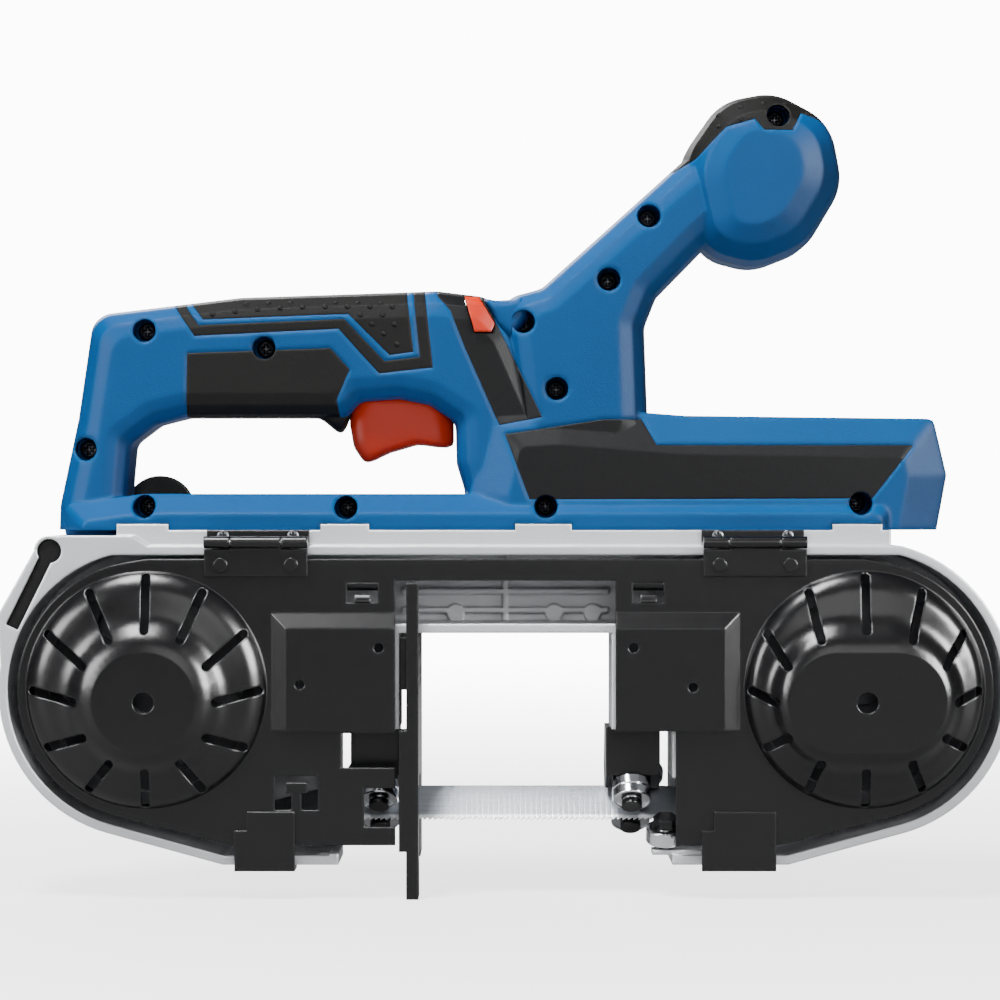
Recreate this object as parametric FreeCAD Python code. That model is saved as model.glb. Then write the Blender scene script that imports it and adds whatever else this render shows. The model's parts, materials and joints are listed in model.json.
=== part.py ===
import FreeCAD, Part
import math
import os
from FreeCAD import Vector

# Portable band saw. X runs along the tool, +X towards the battery end, Y away from the wheel cover, Z up.
# Lengths in millimetres. The split plane of the body is y = 0 here; the export shift moves the origin
# to the middle of the bottom of the whole saw.

# Wheels and blade
WHEEL_SPACING = 236.0
WHEEL_RADIUS = 41.0
WHEEL_WIDTH = 15.0
WHEEL_MIDDLE_Y = -18.5
TYRE_DEPTH = 2.4
TYRE_SIDE = 1.2
WHEEL_WEB = 4.0
WHEEL_RIM = 4.0
BLADE_WIDTH = 13.0
BLADE_THICKNESS = 0.6
BLADE_GAP = 0.3
BLADE_LEAN = 35.0
GUIDE_LIFT = 2.8
TWIST_START = 24.0
GUIDE_X = 42.0

# Frame casting
RIM_Y = -38.0
WEB_FRONT_Y = -6.0
WEB_THICKNESS = 4.0
FRAME_WALL = 3.0
END_RADIUS = 49.0
RIM_TOP = 47.4
FOOT_DROP = 57.6
FOOT_END_X = 93.0
THROAT_HALF = 35.0
THROAT_TOP = 18.7
STEP_X = 55.0
STEP_DROP = 13.0
EXIT_TOP_DROP = 29.0
EXIT_BOTTOM_DROP = 54.0
SADDLE_TOP = 52.5
SADDLE_FRONT_Y = -29.0
SADDLE_BACK_Y = 24.0
SADDLE_LEFT_X = -128.0
SADDLE_RIGHT_X = 128.0
LUG_HEIGHT = 2.0
LUG_DEPTH = 3.0
RIB_HEIGHT = 3.0
RIB_THICKNESS = 1.8
PAD_RADIUS = 3.0
LEVER_BOSS_X = -150.3
LEVER_BOSS_Z = 45.7
LEVER_BOSS_RADIUS = 5.0
LEVER_RECESS = 9.0

# Work stop
STOP_DROP = 68.7
STOP_THICKNESS = 4.0
STOP_TOP = 35.3
STOP_FRONT_Y = -42.0
STOP_BACK_Y = 14.0
STOP_SLOT_FRONT_Y = -27.0
STOP_SLOT_BACK_Y = -10.0
STOP_SLOT_TOP_DROP = 29.0
STOP_FLANGE = 2.4

# Wheel cover
SHEET = 1.2
COVER_Y = -40.2
COVER_FLANGE = 7.0
DOME_RADIUS = 39.0
DOME_HEIGHT = 11.0
PLATEAU_RADIUS = 16.5
PLATEAU_DROP = 3.6
PLATEAU_STRETCH = 9.0
DOME_HOLE_RADIUS = 3.4
SLOT_WIDTH = 2.8
PANEL_RISE = 2.6
PANEL_BEVEL = 5.0
HINGE_X = 82.0
HINGE_LENGTH = 34.0
HINGE_BARREL = 2.0
HINGE_PIN_RADIUS = 0.9
HINGE_Z = 48.6
HINGE_Y = -41.6
RIVET_RADIUS = 1.6

# Guides
ROLLER_RADIUS = 6.5
ROLLER_WIDTH = 7.0
ROLLER_BORE = 2.0
THRUST_BORE = 1.2
THRUST_RADIUS = 4.5
THRUST_WIDTH = 4.0
ROLLER_GAP = 0.3
FORK_GAP = 5.2

# Gear train and motor on the far side of the right wheel
GEAR_MODULE_ONE = 0.6
GEAR_MODULE_TWO = 1.0
PINION_TEETH = 12
FIRST_GEAR_TEETH = 60
SECOND_GEAR_TEETH = 48
PRESSURE_ANGLE = 25.0
BACKLASH = 0.16
GEAR_FACE = 6.0
MOTOR_X = 88.0
MOTOR_Z = 20.0
MOTOR_RADIUS = 21.0
MOTOR_LENGTH = 36.0
SHELL_WALL = 2.6
CASE_DEPTH = 20.0
CASE_COVER = 4.0
SHAFT_RADIUS = 5.0
BEARING_RADIUS = 11.0
BEARING_WIDTH = 7.0
RUNNING_FIT = 0.05

# Tension slide
SLIDE_TRAVEL = 9.9
SLIDE_LENGTH = 34.0
SLIDE_HEIGHT = 22.0
SLIDE_DEPTH = 9.0

# Body, handle and neck. The outlines are picture points, placed by the size of a point on the split plane.
PIXEL = 0.34
MIDDLE_PX = 505.3
SADDLE_PX = 530.0
HANDLE_HALF = 18.5
BEAM_HALF = 27.0
BODY_HALF = 23.5
NECK_HALF = 21.0
KNOB_HALF = 25.0
SHELL = 3.4
SKIN = 2.2
SCREW_RADIUS = 1.6
SCREW_HEAD = 3.0
SCREW_WELL = 3.9
SCREW_SINK = 12.0
TRIGGER_HALF = 8.0
CLEAR = 0.3
OVER = 1.0
ROUND_SHARE = 0.45
DEDENDUM_SHARE = 1.25
FLANK_STEPS = 4
LUG_ROOT_SHARE = 0.9
HEAD_BALL_SHARE = 1.25
HEAD_SINK_SHARE = 0.75

RIGHT_X = WHEEL_SPACING / 2
LEFT_X = -RIGHT_X
WEB_BACK_Y = WEB_FRONT_Y + WEB_THICKNESS
LEAN = math.radians(BLADE_LEAN)
ALONG = Vector(0, -math.sin(LEAN), -math.cos(LEAN))
FACING = Vector(0, -math.cos(LEAN), math.sin(LEAN))
XAXIS = Vector(1, 0, 0)
YAXIS = Vector(0, 1, 0)
ZAXIS = Vector(0, 0, 1)
BLADE_RADIUS = WHEEL_RADIUS + BLADE_GAP + BLADE_THICKNESS / 2
CASE_BACK_Y = WEB_BACK_Y + CASE_DEPTH
COVER_BACK_Y = CASE_BACK_Y + CASE_COVER
MOTOR_BACK_Y = COVER_BACK_Y + MOTOR_LENGTH
FRONT_Y = COVER_Y - DOME_HEIGHT

# Left upper corner of the frame: a lug whose groove holds the rubber bumper strip.
LUG_LOW_Z = 25.0
LUG_SIDE_Z = 8.0
GROOVE_WIDTH = 4.4
BUMPER_CLEAR = 0.2

# Rear side of the left wheel: slide rails, cam pivot.
RAIL_HEIGHT = 4.0
RAIL_LEFT = 18.0
RAIL_RIGHT = 16.0
SLIDE_CLEAR = 0.2
SLIDE_PLATE = 2.0
CAM_RADIUS = 11.0
CAM_THROW = 7.0
CAM_CLEAR = 0.5
CAM_PIN_RADIUS = 4.0
LEVER_ARM = 40.0
LEVER_ARM_WIDTH = 12.0
LEVER_ARM_DEPTH = 5.0
LEVER_TIP = 7.0
CAM_X = LEFT_X + SLIDE_LENGTH / 2 + CAM_CLEAR + CAM_RADIUS + CAM_THROW * math.cos(math.pi / 4)
SLIDE_BACK_Y = WEB_BACK_Y + SLIDE_DEPTH
PLATE_BACK_Y = SLIDE_BACK_Y + SLIDE_CLEAR + SLIDE_PLATE
AXLE_SLOT_RADIUS = SHAFT_RADIUS + OVER

# Gear train places
FIRST_CENTRES = GEAR_MODULE_ONE * (PINION_TEETH + FIRST_GEAR_TEETH) / 2
SECOND_CENTRES = GEAR_MODULE_TWO * (PINION_TEETH + SECOND_GEAR_TEETH) / 2
MOTOR_REACH = math.hypot(RIGHT_X - MOTOR_X, MOTOR_Z)
LAY_ALONG = (FIRST_CENTRES ** 2 - SECOND_CENTRES ** 2 + MOTOR_REACH ** 2) / (2 * MOTOR_REACH)
LAY_ASIDE = math.sqrt(FIRST_CENTRES ** 2 - LAY_ALONG ** 2)
MOTOR_TO_DRIVE = math.atan2(-MOTOR_Z, RIGHT_X - MOTOR_X)
LAY_X = MOTOR_X + LAY_ALONG * math.cos(MOTOR_TO_DRIVE) + LAY_ASIDE * math.sin(MOTOR_TO_DRIVE)
LAY_Z = MOTOR_Z + LAY_ALONG * math.sin(MOTOR_TO_DRIVE) - LAY_ASIDE * math.cos(MOTOR_TO_DRIVE)
GEAR_ROOM = 3.0
CASE_WALL = 3.0
DRIVE_ROOM = GEAR_MODULE_TWO * (SECOND_GEAR_TEETH / 2 + 1) + GEAR_ROOM
LAY_ROOM = GEAR_MODULE_ONE * (FIRST_GEAR_TEETH / 2 + 1) + GEAR_ROOM
MOTOR_ROOM = MOTOR_RADIUS - CASE_WALL
CASE_SPOTS = ((RIGHT_X, 0, DRIVE_ROOM), (LAY_X, LAY_Z, LAY_ROOM), (MOTOR_X, MOTOR_Z, MOTOR_ROOM))
CASE_SCREW_RADIUS = 1.5
CASE_EAR_RADIUS = 4.0
DRIVE_EAR_ANGLES = (-60, 15, 75)
LAY_EAR_ANGLES = (190, 262)
MOTOR_EAR_ANGLES = (150,)
FRONT_BEARING_Y = WEB_FRONT_Y - CASE_WALL / 2
DRIVE_BEARING_Y = FRONT_BEARING_Y + CASE_WALL / 2
BOSS_BACK_Y = DRIVE_BEARING_Y + BEARING_WIDTH + OVER
FIRST_GEAR_Y = CASE_BACK_Y - GEAR_FACE - GEAR_ROOM / 2
SECOND_GEAR_Y = FIRST_GEAR_Y - GEAR_FACE - GEAR_ROOM / 2
SMALL_BEARING_RADIUS = 6.0
SMALL_SHAFT_RADIUS = 2.5
SMALL_BEARING_WIDTH = 3.0
FAN_SPACE = 9.0
SHELL_BACK_Y = MOTOR_BACK_Y + FAN_SPACE + SHELL_WALL
ORIGIN = Vector(0, -(FRONT_Y + SHELL_BACK_Y) / 2, STOP_DROP)
LUG_SPANS_PX = ((126, 176), (325, 372), (515, 570), (825, 873))
BRIDGE_RIB_SHARES = (0.2, 0.42)
PAD_SHARES = (-0.48, 0.47, 0.84)
HOLDER_SCREW_RADIUS = 2.0
HOLDER_SCREW_HEAD = 3.4
HOLDER_SCREW_X = 43.5
HOLDER_SCREW_YS = (-21.5, -9.5)
HOLDER_SCREW_LENGTH = 9.0
SADDLE_SCREW_Y = 17.0
SLIDE_SCREW_RADIUS = 1.2
SLIDE_SCREW_HEAD = 2.1
STOP_ROLLER_RADIUS = 6.5
STOP_ROLLER_WIDTH = 5.0
STOP_ROLLER_TILT = 20.0
STOP_ROLLER_MIDDLE = Vector(53.0, -31.0, -48.0)
STOP_BOLT_RADIUS = 2.0
STOP_BOLT_LENGTH = 6.4
STOP_BOLT_HEAD = 4.2
STOP_BOLT_HEAD_HEIGHT = 3.4
BRACKET_LEFT = 48.5
BRACKET_RIGHT = 68.0
BRACKET_FRONT_Y = -35.5
BRACKET_BACK_Y = -25.0
BRACKET_HEIGHT = 1.6
STOP_ROLLER_AXIS = Vector(
    0, -math.sin(math.radians(STOP_ROLLER_TILT)), math.cos(math.radians(STOP_ROLLER_TILT))
)
HINGE_SCREW_RADIUS = 1.5
HINGE_SCREW_HEAD = 2.0
SLIVER = 0.1
HINGE_SCREW_SPREAD = 11.6
HINGE_SCREW_Z = SADDLE_TOP - HINGE_SCREW_HEAD + SLIVER
STOP_SCREW_RADIUS = 2.0
STOP_SCREW_HEAD = 3.4
STOP_SCREW_SINK = 2.0
STOP_SCREW_HEIGHTS = (4.0, 14.0)
STOP_SCREW_YS = (-30.5, -10.5)

# Wheel cover outline and pressings
COVER_END = 42.5
COVER_TOP = 43.1
COVER_FOOT = 51.0
COVER_THROAT = 36.2
COVER_STEP = 56.0
COVER_FLANGE_START = 62.0
BAR_LOW = 36.0
NOTCH_REACH = 54.0
NOTCH_TOP_DROP = 14.2
NOTCH_LOW_DROP = 25.5
CUTOUT_REACH = 46.5
CUTOUT_TOP_DROP = 32.2
CUTOUT_LOW_DROP = 45.0
SLOT_OUTER = 37.0
SLOT_INNER = 23.4
SLOT_COUNT = 12
PANEL_REACH = 72.0
PANEL_TOP = 20.4
PANEL_LOW_DROP = 13.4
WINDOW_WIDTH = 10.2
WINDOW_X = 47.0
WINDOW_TOP = 35.4
WINDOW_LOW = 28.8
COVER_HOLE_RADIUS = 1.5
CATCH_X = -68.7
CATCH_WIDTH = 14.2
CATCH_TOP_DROP = 28.2
CATCH_LOW_DROP = 39.4
CATCH_STEM = 3.4
CLIP_SHEET = 1.5
CLIP_TOP_DROP = 39.8
CLIP_LEG = 12.0
CLIP_SPANS = ((-85.0, -69.2), (68.5, 88.9))
CLIP_STEP = 4.0
CLIP_STEP_DROP = 46.0
DOME_SECTION_SHARES = (
    (0, 0), (0.08, 0.2), (0.2, 0.35), (0.45, 0.45), (0.62, 0.56), (0.8, 0.84), (0.92, 0.96), (1.0, 1.0),
)
SLOT_BEND_SHARE = 0.72
COVER_HOLES = ((-41.6, 14.0), (-67.5, 2.0), (42.0, 14.0), (61.6, 1.0))
RIVET_SPREAD = 11.6
RIVET_HEAD = 2.4
RIVET_Z = 41.2
LEAF_LOW = 37.4
KNUCKLE = 16.6
KNUCKLE_GAP = 0.3
TWIST_STEPS = 8
TWIST_END = 50.0

# Guides: in each holder two side rollers and one thrust roller lie about the blade.
HOLDER_GAP = 0.7
HOLDER_OUTER = 11.0
HOLDER_INNER_X = 33.5
HOLDER_LEFT_INNER_X = 35.3
HOLDER_END_X = 51.5
HOLDER_BACK_Y = -4.0
HOLDER_FOOT = ROLLER_WIDTH / 2 + HOLDER_GAP
HOLDER_CROWN_GAP = 0.8
HOLDER_BRIDGE = 5.4
THRUST_SHIFT = 6.6
PIN_HEAD_RADIUS = 3.4
PIN_HEAD = 2.0
GUIDE_MIDDLE = Vector(0, WHEEL_MIDDLE_Y, GUIDE_LIFT - BLADE_RADIUS)
SIDE_REACH = BLADE_THICKNESS / 2 + ROLLER_GAP + ROLLER_RADIUS
THRUST_REACH = BLADE_WIDTH / 2 + ROLLER_GAP + THRUST_RADIUS
STOP_X = STOP_FLANGE - THROAT_HALF
STOP_FLANGE_TOP_DROP = 13.2
STOP_FLANGE_LOW_DROP = 53.0
STOP_FLANGE_BACK_Y = -32.0

# Wheels
HUB_RADIUS = 15.0
HUB_BACK_Y = -9.0
WHEEL_HOLES = 6
WHEEL_HOLE_RADIUS = 6.0
WHEEL_HOLE_PITCH = 24.5
BOLT_RADIUS = 3.0
BOLT_HEAD = 6.0
BOLT_HEAD_HEIGHT = 4.5
BOLT_LENGTH = 10.0
WASHER_RADIUS = 9.0
WASHER = 1.5
WHEEL_FRONT_Y = WHEEL_MIDDLE_Y - WHEEL_WIDTH / 2
WHEEL_BACK_Y = WHEEL_MIDDLE_Y + WHEEL_WIDTH / 2
TYRE_SEAT = WHEEL_RADIUS - TYRE_DEPTH
AXLE_HEAD = 8.0
AXLE_HEAD_GAP = 0.5
AXLE_HEAD_HEIGHT = 2.0

# Tension slide, its plate and the lever with the cam
CAM_REST_ANGLE = 135.0
CLIP_RING_RADIUS = 7.0
CLIP_RING = 1.3
LEVER_HUB = 6.0

# Gear train and motor
REAR_BEARING_RADIUS = 8.0
REAR_BEARING_WIDTH = 5.0
REAR_BOSS_RADIUS = 10.4
REAR_POCKET_Y = CASE_BACK_Y - CLEAR
SMALL_POCKET_Y = CASE_BACK_Y + SMALL_BEARING_WIDTH
ROTOR_RADIUS = 15.5
ROTOR_GAP = 0.5
ROTOR_INSET = 4.0
CAN_END = 3.0
FAN_RADIUS = 18.5
FAN_HUB = 5.0
FAN_BLADES = 9
FAN_SHEET = 1.2
FAN_GAP = 1.5
FAN_DEPTH = 5.5
SHELL_BORE = MOTOR_RADIUS + CLEAR
SHELL_RADIUS = SHELL_BORE + SHELL_WALL
SHELL_VENTS = 12
SHELL_VENT_WIDTH = 2.6
SHELL_VENT_INNER = 7.0
SHELL_VENT_OUTER = 18.0
SHELL_LUG_RADIUS = 4.0
SHELL_LUG_REACH = 26.8
SHELL_LUG_DEPTH = 5.0
SHELL_LUG_ANGLES = (235.0, 305.0)
CASE_SCREW_HEAD = 2.7
CASE_SCREW_HEAD_DEPTH = 2.0
CASE_SCREW_LENGTH = 12.0

# Body, handle, neck and front knob. Picture points, anticlockwise.
HANDLE_PX = (
    (61, 560), (500, 560), (560, 430), (516, 330), (487, 299), (438, 293), (242, 299.5), (96, 317),
    (81, 420),
    (63, 505),
)
OPENING_PX = (
    (130, 508), (470, 508), (457, 465), (456, 424), (430, 406.5), (400, 400.5), (361, 403.5), (350, 418.7),
    (189, 418.7), (160, 426), (135, 445), (132, 477),
)
BEAM_PX = ((72, 580), (893, 580), (893, 494.5), (150, 494.5), (72, 505))
BODY_PX = (
    (480, 580), (921, 580), (940, 476), (927, 420.5), (682, 417.5), (560, 408), (490, 412), (470, 494.5),
)
NECK_PX = (
    (520, 470), (648, 470), (643, 330), (655, 300), (704, 250), (770, 195), (724, 126),
    (541, 291), (500, 302),
)
KNOB_PX = ((698, 258), (752, 272), (803, 252), (840, 190), (828, 126), (772, 96), (718, 106), (676, 166))
SCREWS_PX = (
    (149.5, 333.5), (267.5, 350.5), (91.5, 450.5), (151, 507), (349, 508), (545, 507), (555.8, 391),
    (523, 325),
    (607, 283.5), (646.5, 221), (773, 123), (853.8, 504),
)
GRIP_TOP_PX = ((180, 311.6), (199, 339), (341, 332), (381, 376), (434, 370), (424, 280), (180, 280))
GRIP_GROOVE_PX = (
    (190, 310), (203.6, 328.5), (346.6, 322.3), (386.4, 363.8), (421.2, 359.6), (412.5, 280), (190, 280)
)
GRIP_PAD_PX = (
    (196, 308), (207.3, 322.8), (350.3, 317.3), (391.4, 357.9), (415, 354.6), (406, 280), (196, 280)
)
GRIP_LOWER_PX = ((190.5, 440), (346, 440), (339, 402), (352, 372), (333, 351), (192, 356))
BAND_PX = (
    (438, 280), (438, 299), (451, 314), (465, 349.5), (499.4, 427), (541.5, 419), (496, 325), (486, 302),
    (486, 280),
)
FRONT_GRIP_PX = (
    (650, 172), (672, 177), (693, 165), (722, 134.5), (750, 127), (759, 138), (787, 138), (796, 120),
    (845, 136),
    (845, 80), (690, 80),
)
PANEL_PX = (
    (505, 436), (529, 500), (865, 499), (906, 447), (654, 447), (639.4, 421.4), (601.5, 421.4), (578, 425)
)
TRIGGER_PX = (
    (364, 463), (371, 463), (390, 454), (419, 445.5), (454, 450), (454, 422.5), (446, 384), (358, 384),
    (350, 412),
    (350, 425), (354, 448),
)
TRIGGER_HEAD_PX = ((352, 386), (452, 386), (452, 375), (352, 375))
TRIGGER_SLOT_PX = ((349, 475), (455, 475), (455, 382), (349, 382))
BUTTON_PX = ((475, 335), (492, 335), (495, 327), (479, 300), (465, 300))
SWITCH_PX = ((352, 359), (450, 359), (450, 335), (352, 335))
CONTROL_LEFT_PX = 566.0
CONTROL_RIGHT_PX = 800.0
SOCKET_LEFT_PX = 664.0
SOCKET_FLOOR_PX = 447.0
SOCKET_END_PX = 935.0
HOOK_PX = (152.0, 511.0)
HANDLE_BEVEL = 9.0
HANDLE_BEVEL_DEPTH = 12.0
BEAM_BEVEL = 6.6
BEAM_BEVEL_DEPTH = 8.3
BODY_BEVEL = 13.0
BODY_BEVEL_DEPTH = 6.0
KNOB_BEVEL = 13.0
KNOB_BEVEL_DEPTH = 16.0
HANDLE_ROUND = 8.0
BODY_ROUND = 3.0
KNOB_ROUND = 18.0
OPENING_ROUND = 5.0
OPENING_FLARE = 8.0
OPENING_FLARE_DEPTH = 7.0
FACET_STEPS_SHARES = ((0, 1.0), (1.0, 0))
ROUND_STEPS_SHARES = ((0, 1.0), (0.13, 0.5), (0.5, 0.13), (1.0, 0))
SCREW_BOSS = 5.3
SCREW_SEAT_Y = -6.0
SCREW_END_Y = 12.0
SCREW_HEAD_HEIGHT = 2.2
SADDLE_BOSS = 4.6
SADDLE_SCREW_LENGTH = 9.0
TRIGGER_HEAD_HALF = 10.0
BUTTON_PROUD = 1.5
SOCKET_HALF = 15.0
SOCKET_FLOOR = 2.4
SOCKET_BASE = 1.6
SOCKET_WALL = 2.0
SOCKET_LIP = 2.5
SOCKET_LIP_HEIGHT = 2.2
SOCKET_HEIGHT = 8.6
TERMINAL_LENGTH = 9.0
TERMINAL_HALF = 9.0
TERMINAL_HEIGHT = 6.6
TERMINAL_BLADE = 0.8
TERMINAL_BLADE_LENGTH = 14.0
TERMINAL_BLADE_HEIGHT = 5.0
TERMINAL_YS = (-6.5, -2.2, 2.2, 6.5)
CONTROL_HALF = 17.0
CONTROL_HEIGHT = 17.0
HOOK_RADIUS = 12.0
HOOK_DISC = 5.0
HOOK_WIRE = 3.0
HOOK_LENGTH = 74.0
HOOK_ARM_START = 7.0
HOOK_PRONG = 30.0
HOOK_SCREW_RADIUS = 2.0
HOOK_SCREW_HEAD = 4.5
HOOK_SCREW_LENGTH = 16.0

PARTS = {}


def keep(name, shape):
    """Store a piece under its node name."""
    PARTS[name] = shape


def fuse(shapes):
    """Join a list of shapes into one solid without seams."""
    first = shapes[0]
    if len(shapes) == 1:
        return first
    return first.fuse(shapes[1:]).removeSplitter()


def box(x0, x1, y0, y1, z0, z1):
    """Box between two corners."""
    return Part.makeBox(x1 - x0, y1 - y0, z1 - z0, Vector(x0, y0, z0))


def rod(x, z, radius, y0, y1):
    """Cylinder along Y."""
    return Part.makeCylinder(radius, y1 - y0, Vector(x, y0, z), YAXIS)


def bar(start, direction, radius, length):
    """Cylinder from a point along a direction."""
    return Part.makeCylinder(radius, length, start, direction)


def ring(x, z, outer, inner, y0, y1):
    """Tube along Y."""
    return rod(x, z, outer, y0, y1).cut(rod(x, z, inner, y0 - OVER, y1 + OVER))


def outline(points, y):
    """Closed wire in a plane of constant y. A point is (x, z), or (middle, end) of an arc as two pairs."""
    edges = []
    start = Vector(points[0][0], y, points[0][1])
    here = start
    for item in list(points[1:]) + [points[0]]:
        if isinstance(item[0], tuple):
            middle = Vector(item[0][0], y, item[0][1])
            end = Vector(item[1][0], y, item[1][1])
            edges.append(Part.Arc(here, middle, end).toShape())
        else:
            end = Vector(item[0], y, item[1])
            edges.append(Part.makeLine(here, end))
        here = end
    return Part.Wire(edges)


def slab(points, y0, y1):
    """Solid of an outline between two planes of constant y."""
    return Part.Face(outline(points, y0)).extrude(Vector(0, y1 - y0, 0))


def corner_cuts(points, radius):
    """Corner data of a polygon rounded to a radius, limited by the edges that meet there."""
    count = len(points)
    rows = []
    for i in range(count):
        before = Vector(*points[i - 1], 0)
        here = Vector(*points[i], 0)
        after = Vector(*points[(i + 1) % count], 0)
        to_before = before - here
        to_after = after - here
        half = to_before.getAngle(to_after) / 2
        room = min(to_before.Length, to_after.Length) * ROUND_SHARE
        reach = min(radius / math.tan(half), room)
        first = here + to_before.normalize() * reach
        last = here + to_after.normalize() * reach
        inward = (to_before + to_after).normalize()
        bulge = reach * math.tan(half)
        middle = here + inward * (reach / math.cos(half) - bulge)
        rows.append((first, middle, last))
    return rows


def rounded(points, radius, y):
    """Wire of a polygon with every corner rounded, in a plane of constant y."""
    rows = corner_cuts(points, radius)
    edges = []
    for i, (first, middle, last) in enumerate(rows):
        follow = rows[(i + 1) % len(rows)][0]
        arc = [Vector(p.x, y, p.y) for p in (first, middle, last)]
        edges.append(Part.Arc(*arc).toShape())
        edges.append(Part.makeLine(arc[2], Vector(follow.x, y, follow.y)))
    return Part.Wire(edges)


def inset(points, distance):
    """Polygon moved inwards by a distance. The points run anticlockwise seen with x right and z up."""
    count = len(points)
    lines = []
    for i in range(count):
        a = Vector(*points[i], 0)
        b = Vector(*points[(i + 1) % count], 0)
        along = (b - a).normalize()
        normal = Vector(-along.y, along.x, 0)
        lines.append((a + normal * distance, along))
    result = []
    for i in range(count):
        p, u = lines[i - 1]
        q, v = lines[i]
        cross = u.x * v.y - u.y * v.x
        gap = q - p
        share = (gap.x * v.y - gap.y * v.x) / cross
        hit = p + u * share
        result.append((hit.x, hit.y))
    return result


def picture(points):
    """Body outline from picture points, standing on the saddle of the frame."""
    return [((px - MIDDLE_PX) * PIXEL, SADDLE_TOP + (SADDLE_PX - py) * PIXEL) for px, py in points]


def pillow(points, half, bevel, depth, radius, steps):
    """Symmetric block about the split plane. Steps pair a share of the depth with a share of the bevel."""
    wires = []
    for deep, inward in steps:
        wires.append(rounded(inset(points, inward * bevel), radius, deep * depth - half))
    for deep, inward in reversed(steps):
        wires.append(rounded(inset(points, inward * bevel), radius, half - deep * depth))
    return Part.makeLoft(wires, True, True)


def prism(points, half):
    """Straight prism through the body, both ways from the split plane."""
    return slab(points, -half, half)


def turn_to(shape, axis_from, axis_to, place):
    """Shape built about the origin, turned from one axis to another and moved."""
    turned = shape.copy()
    turned.Placement = FreeCAD.Placement(place, FreeCAD.Rotation(axis_from, axis_to))
    return turned


def gear_wire(module, teeth, addendum, turn):
    """Involute gear outline about the origin in the x, z plane. Every flank is four chords."""
    pitch = module * teeth / 2
    pressure = math.radians(PRESSURE_ANGLE)
    base = pitch * math.cos(pressure)
    tip = pitch + addendum
    root = pitch - DEDENDUM_SHARE * module
    spread = math.tan(pressure) - pressure
    half_tooth = math.pi / (2 * teeth) - BACKLASH / (4 * pitch)
    start = max(base, root)
    points = []
    for tooth in range(teeth):
        middle = turn + 2 * math.pi * tooth / teeth
        side = []
        for step in range(FLANK_STEPS + 1):
            radius = start + (tip - start) * step / FLANK_STEPS
            angle = math.acos(min(1, base / radius))
            lean = half_tooth + spread - (math.tan(angle) - angle)
            side.append((radius, lean))
        foot = side[0][1]
        points.append((root, middle - foot))
        points += [(radius, middle - lean) for radius, lean in side]
        points += [(radius, middle + lean) for radius, lean in reversed(side)]
        points.append((root, middle + foot))
    flat = []
    for radius, angle in points:
        spot = (radius * math.cos(angle), radius * math.sin(angle))
        if not flat or math.hypot(spot[0] - flat[-1][0], spot[1] - flat[-1][1]) > BACKLASH / 10:
            flat.append(spot)
    return flat


def gear(x, z, module, teeth, turn, y0, y1):
    """Spur gear along Y."""
    flat = [(x + a, z + b) for a, b in gear_wire(module, teeth, module, turn)]
    return slab(flat, y0, y1)


def tangent_end(x, z, radius, from_x, from_z, side):
    """Point where the tangent from a point meets a circle. Side is 1 or -1."""
    away = math.atan2(from_z - z, from_x - x)
    open_by = math.acos(radius / math.hypot(from_x - x, from_z - z))
    angle = away + side * open_by
    return (x + radius * math.cos(angle), z + radius * math.sin(angle))


def frame_outline(wall):
    """C shape of the frame: two round ends, a bridge on top and the throat between them."""
    end = END_RADIUS - wall
    top = RIM_TOP - wall
    foot = wall - FOOT_DROP
    throat = THROAT_HALF + wall
    crown = THROAT_TOP + wall
    step_x = STEP_X + wall
    step_z = wall - STEP_DROP
    reach = math.sqrt(end * end - top * top)
    low_right = tangent_end(RIGHT_X, 0, end, FOOT_END_X, foot, 1)
    low_left = (-low_right[0], low_right[1])
    return [
        (-throat, crown),
        (throat, crown),
        (throat, step_z),
        (step_x, step_z),
        (step_x, foot),
        (FOOT_END_X, foot),
        low_right,
        ((RIGHT_X + end, 0), (RIGHT_X + reach, top)),
        (LEFT_X - reach, top),
        ((LEFT_X - end, 0), low_left),
        (-FOOT_END_X, foot),
        (-step_x, foot),
        (-step_x, step_z),
        (-throat, step_z),
    ]


def case_rounds(grow, y0, y1):
    """Union of the round rooms of the gear case, grown by a wall."""
    return fuse([rod(x, z, radius + grow, y0, y1) for x, z, radius in CASE_SPOTS])


def case_ears():
    """Screw ears round the gear case, as places in x and z."""
    reach = DRIVE_ROOM + CASE_WALL + CASE_SCREW_RADIUS
    low = LAY_ROOM + CASE_WALL + CASE_SCREW_RADIUS
    high = MOTOR_ROOM + CASE_WALL + CASE_SCREW_RADIUS
    return [
        (
            RIGHT_X + reach * math.cos(math.radians(a)), reach * math.sin(math.radians(a))
        ) for a in DRIVE_EAR_ANGLES
    ] + [
        (
            LAY_X + low * math.cos(math.radians(a)), LAY_Z + low * math.sin(math.radians(a))
        ) for a in LAY_EAR_ANGLES
    ] + [
        (
            MOTOR_X + high * math.cos(math.radians(a)), MOTOR_Z + high * math.sin(math.radians(a))
        ) for a in MOTOR_EAR_ANGLES
    ]


def bumper_path():
    """Groove of the bumper strip: from the boss down along the corner lug, as two points."""
    low = (LEFT_X - END_RADIUS + GROOVE_WIDTH, LUG_LOW_Z - GROOVE_WIDTH)
    return (LEVER_BOSS_X, LEVER_BOSS_Z), low


def groove(width, y0, y1):
    """Straight groove of a width between the two ends of the bumper path."""
    (x0, z0), (x1, z1) = bumper_path()
    run = math.hypot(x1 - x0, z1 - z0)
    nx = -(z1 - z0) / run * width / 2
    nz = (x1 - x0) / run * width / 2
    return slab([(x0 + nx, z0 + nz), (x0 - nx, z0 - nz), (x1 - nx, z1 - nz), (x1 + nx, z1 + nz)], y0, y1)


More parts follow.
